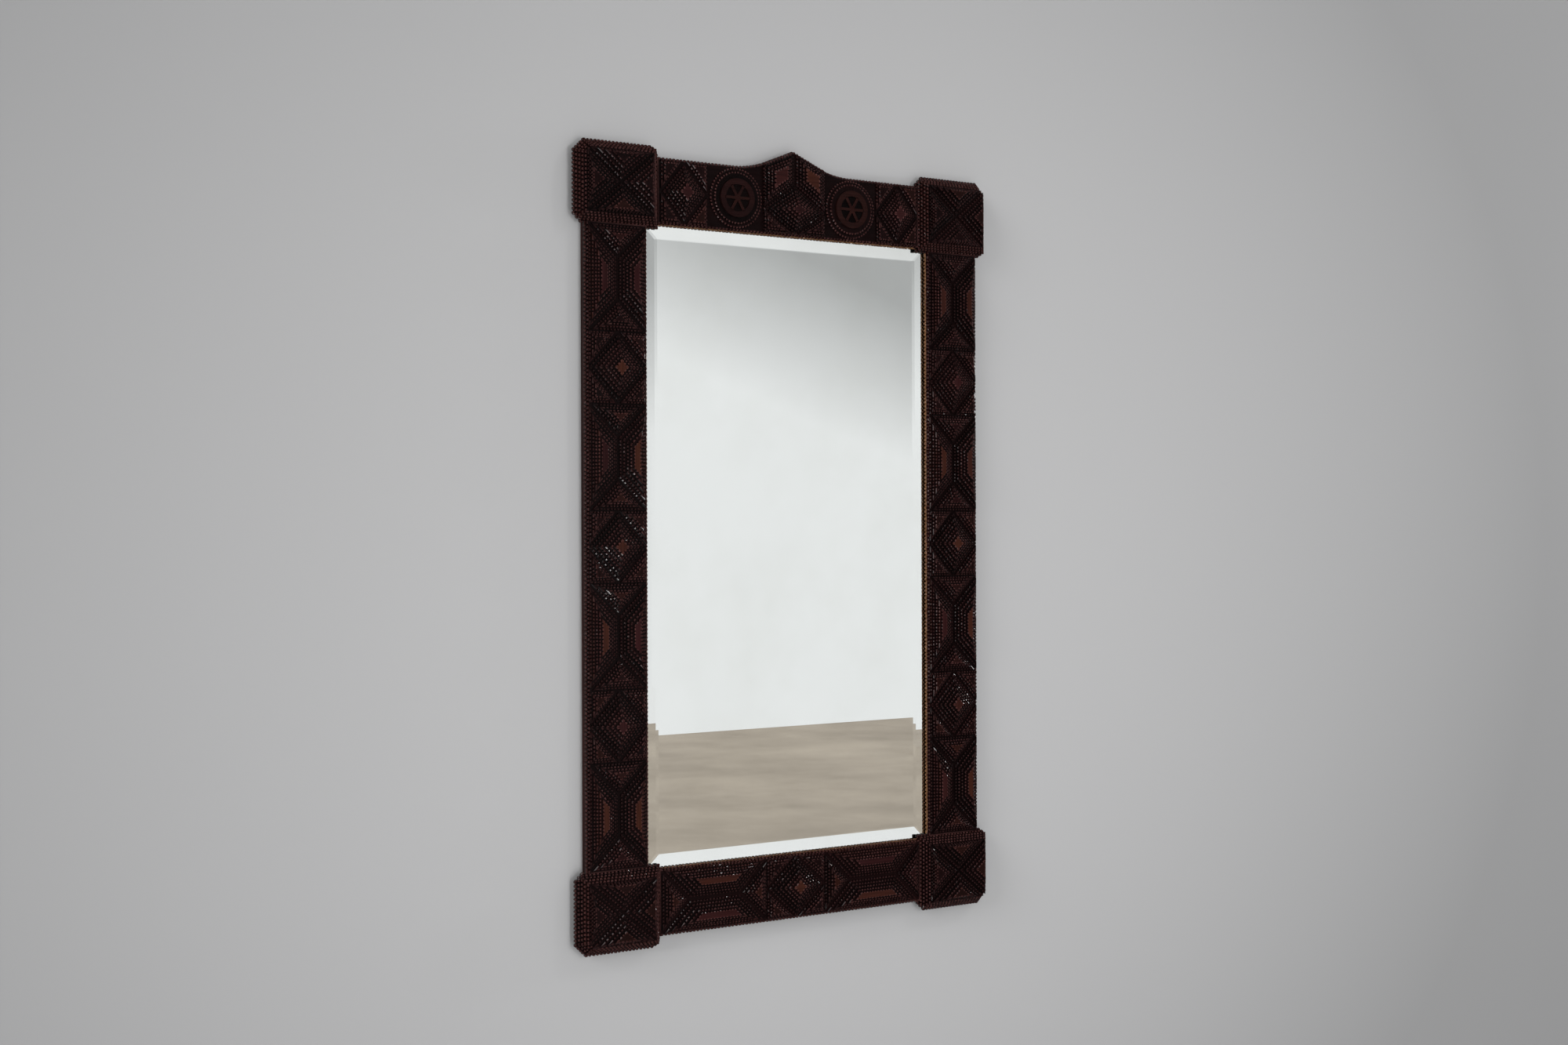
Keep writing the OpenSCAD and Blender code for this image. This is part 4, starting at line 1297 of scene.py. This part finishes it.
def framed_solid(name, half_x, half_z, profile):
    """A rectangular plate: a profile of (inset, d) points carried round four corners and closed."""
    profile = np.asarray(profile)
    signs = np.array([[-1, -1], [1, -1], [1, 1], [-1, 1]])
    points = np.empty((len(profile), 4, 3))
    points[..., 0] = signs[:, 0] * (half_x - profile[:, :1])
    points[..., 1] = -profile[:, 1:]
    points[..., 2] = signs[:, 1] * (half_z - profile[:, :1])
    made = bpy.data.meshes.new(name)
    made.from_pydata(points.reshape(-1, 3), [], plate_faces(len(signs), len(profile)))
    made.update()
    return made


class FRAME_OT_mirror(bpy.types.Operator):
    """Set the bevelled plate glass and its silvering"""

    bl_idname = "frame.mirror"
    bl_label = "Mirror plate"

    def execute(self, context):
        sizes = context.scene.frame_stacks
        x, z, d = box_xz("mirror_plate")
        silver_d = d[0] + sizes.silver_t
        sheet = [[0.0, d[0]], [0.0, silver_d]]
        plate = [[0.0, silver_d + SILVER_GAP], [0.0, d[0] + sizes.bevel_edge_t], [sizes.bevel_w, d[1]]]
        glass_mesh = framed_solid("mirror_glass", x[1], z[1], plate)
        silver_mesh = framed_solid("mirror_silvering", x[1], z[1], sheet)
        glass = add_piece("mirror_glass", glass_mesh, plate_glass())
        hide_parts("mirror_plate")
        add_piece("mirror_silvering", silver_mesh, silvering())
        return {"FINISHED"}


def finish_node(node, material):
    """Give a CAD node its material."""
    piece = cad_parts[node]
    piece.data.materials.clear()
    piece.data.materials.append(material)


class FRAME_OT_carcass(bpy.types.Operator):
    """Finish the boards, back planks, nails and hangers"""

    bl_idname = "frame.carcass"
    bl_label = "Carcass and back"

    def execute(self, context):
        colours = context.scene.frame_finishes
        upright = board_wood("stile_wood", colours, "z")
        level = board_wood("rail_wood", colours, "x")
        iron = old_iron(colours)
        for side in SIDES:
            finish_node(f"{side}_stile_board", upright)
            finish_node(f"hanger_plate_{side}", iron)
        for place in ("top", "bottom"):
            finish_node(f"{place}_rail_board", level)
        for node in ("corner_joint_nails", "back_panel_nails", "hanger_screws"):
            finish_node(node, iron)
        planks = [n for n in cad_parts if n.startswith("back_plank")]
        for i, node in enumerate(sorted(planks)):
            tone = PLANK_TONES[i % len(PLANK_TONES)]
            finish_node(node, old_pine(f"pine_{i + 1}", colours, PLANK_SHIFT * i, tone))
        return {"FINISHED"}


def stage_plane(name, corners, material):
    """A flat surface of the room through four corners."""
    made = bpy.data.meshes.new(name)
    made.from_pydata(corners, [], [[0, 1, 2, 3]])
    made.update()
    made.materials.append(material)
    plane = bpy.data.objects.new(name, made)
    bpy.context.scene.collection.objects.link(plane)


def add_lamp(name, kind, place, size, energy):
    """A lamp in its place that faces the middle of the frame."""
    data = bpy.data.lights.new(name, kind)
    data.energy = energy
    setattr(data, "angle" if kind == "SUN" else "size", size)
    lamp = bpy.data.objects.new(name, data)
    bpy.context.scene.collection.objects.link(lamp)
    way = -np.asarray(place)
    turn = math.atan2(-way[0], way[1])
    tilt = math.atan2(way[2], math.hypot(way[0], way[1]))
    lamp.location = place
    lamp.rotation_euler = (math.pi / 2 + tilt, 0.0, turn)


def add_camera(scene, stage):
    """The camera, turned by its yaw and pitch and then about its own axis by its roll."""
    data = bpy.data.cameras.new("camera")
    data.sensor_width = SENSOR_WIDTH
    data.lens = stage.focus * SENSOR_WIDTH / IMAGE_WIDTH
    camera = bpy.data.objects.new("camera", data)
    scene.collection.objects.link(camera)
    turn = Euler((math.pi / 2 + stage.pitch, 0.0, -stage.yaw)).to_matrix()
    turn = turn @ Matrix.Rotation(stage.roll, 3, "Z")
    camera.matrix_world = Matrix.Translation(stage.camera) @ turn.to_4x4()
    scene.camera = camera


def add_room(stage, colours):
    """The wall behind the frame, the floor and the wall across the room."""
    half_room = stage.room_half
    low = stage.floor_z
    far = -stage.room_y
    stage_plane("wall", [(-half_room, WALL_Y, low), (half_room, WALL_Y, low),
                         (half_room, WALL_Y, half_room), (-half_room, WALL_Y, half_room)],
                room_surface("wall", colours.wall, WALL_MOTTLE, fade=WALL_FADE))
    stage_plane("floor", [(-half_room, far, low), (half_room, far, low),
                          (half_room, half_room, low), (-half_room, half_room, low)],
                room_surface("floor", colours.floor, FLOOR_MOTTLE, glow=True))
    stage_plane("far_wall", [(half_room, far, low), (-half_room, far, low),
                             (-half_room, far, half_room), (half_room, far, half_room)],
                room_surface("far_wall", colours.far_wall, FAR_MOTTLE, glow=True, dim=FAR_DIM))


def add_world(scene, stage):
    """Even white light from all round, weaker in reflections and nearly white to the camera."""
    scene.world = bpy.data.worlds.new("world")
    sky = Finish(scene.world, "ShaderNodeOutputWorld")
    rays = sky.add("ShaderNodeLightPath")
    even = sky.spread(rays["Is Glossy Ray"], 0.0, 1.0, stage.ambient, GLOSSY_AMBIENT * stage.ambient)
    level = sky.reckon("MAXIMUM", even, sky.times(rays["Is Camera Ray"], SKY_SEEN))
    sky.close("ShaderNodeBackground", {"Color": opaque(WHITE), "Strength": level})


class FRAME_OT_stage(bpy.types.Operator):
    """Set the camera, the plain room, the world and the lights"""

    bl_idname = "frame.stage"
    bl_label = "Stage"

    def execute(self, context):
        scene = context.scene
        stage = scene.frame_stage
        scene.view_settings.view_transform = "Standard"
        add_camera(scene, stage)
        add_room(stage, scene.frame_finishes)
        for name, (kind, place, size) in LAMPS.items():
            add_lamp(f"{name}_light", kind, place, size, getattr(stage, f"{name}_power"))
        add_world(scene, stage)
        return {"FINISHED"}


PIECES = (
    FRAME_OT_stage,
    FRAME_OT_strips,
    FRAME_OT_hourglasses,
    FRAME_OT_diamonds,
    FRAME_OT_top_diamonds,
    FRAME_OT_crest_panel,
    FRAME_OT_wheels,
    FRAME_OT_blocks,
    FRAME_OT_crosses,
    FRAME_OT_mirror,
    FRAME_OT_carcass,
)


class FRAME_PT_panel(bpy.types.Panel):
    """The frame's pieces and sizes"""

    bl_idname = "FRAME_PT_panel"
    bl_label = "Mirror Frame"
    bl_space_type = "VIEW_3D"
    bl_region_type = "UI"
    bl_category = "Mirror Frame"

    def draw(self, context):
        for piece in PIECES:
            self.layout.operator(piece.bl_idname)
        for name, group in SETTINGS.items():
            box = self.layout.box()
            box.label(text=group.__doc__)
            settings = getattr(context.scene, name)
            for key in group.__annotations__:
                box.prop(settings, key)


CLASSES = tuple(SETTINGS.values()) + PIECES + (FRAME_PT_panel,)


def register():
    """Register the settings, operators and panel."""
    for kind in CLASSES:
        bpy.utils.register_class(kind)
    for name, group in SETTINGS.items():
        setattr(bpy.types.Scene, name, PointerProperty(type=group))


def unregister():
    """Remove the settings, operators and panel."""
    for name in SETTINGS:
        delattr(bpy.types.Scene, name)
    for kind in reversed(CLASSES):
        bpy.utils.unregister_class(kind)


def main():
    """Make every piece in order."""
    register()
    for piece in PIECES:
        group, name = piece.bl_idname.split(".")
        getattr(getattr(bpy.ops, group), name)()


if __name__ == "__main__":
    main()
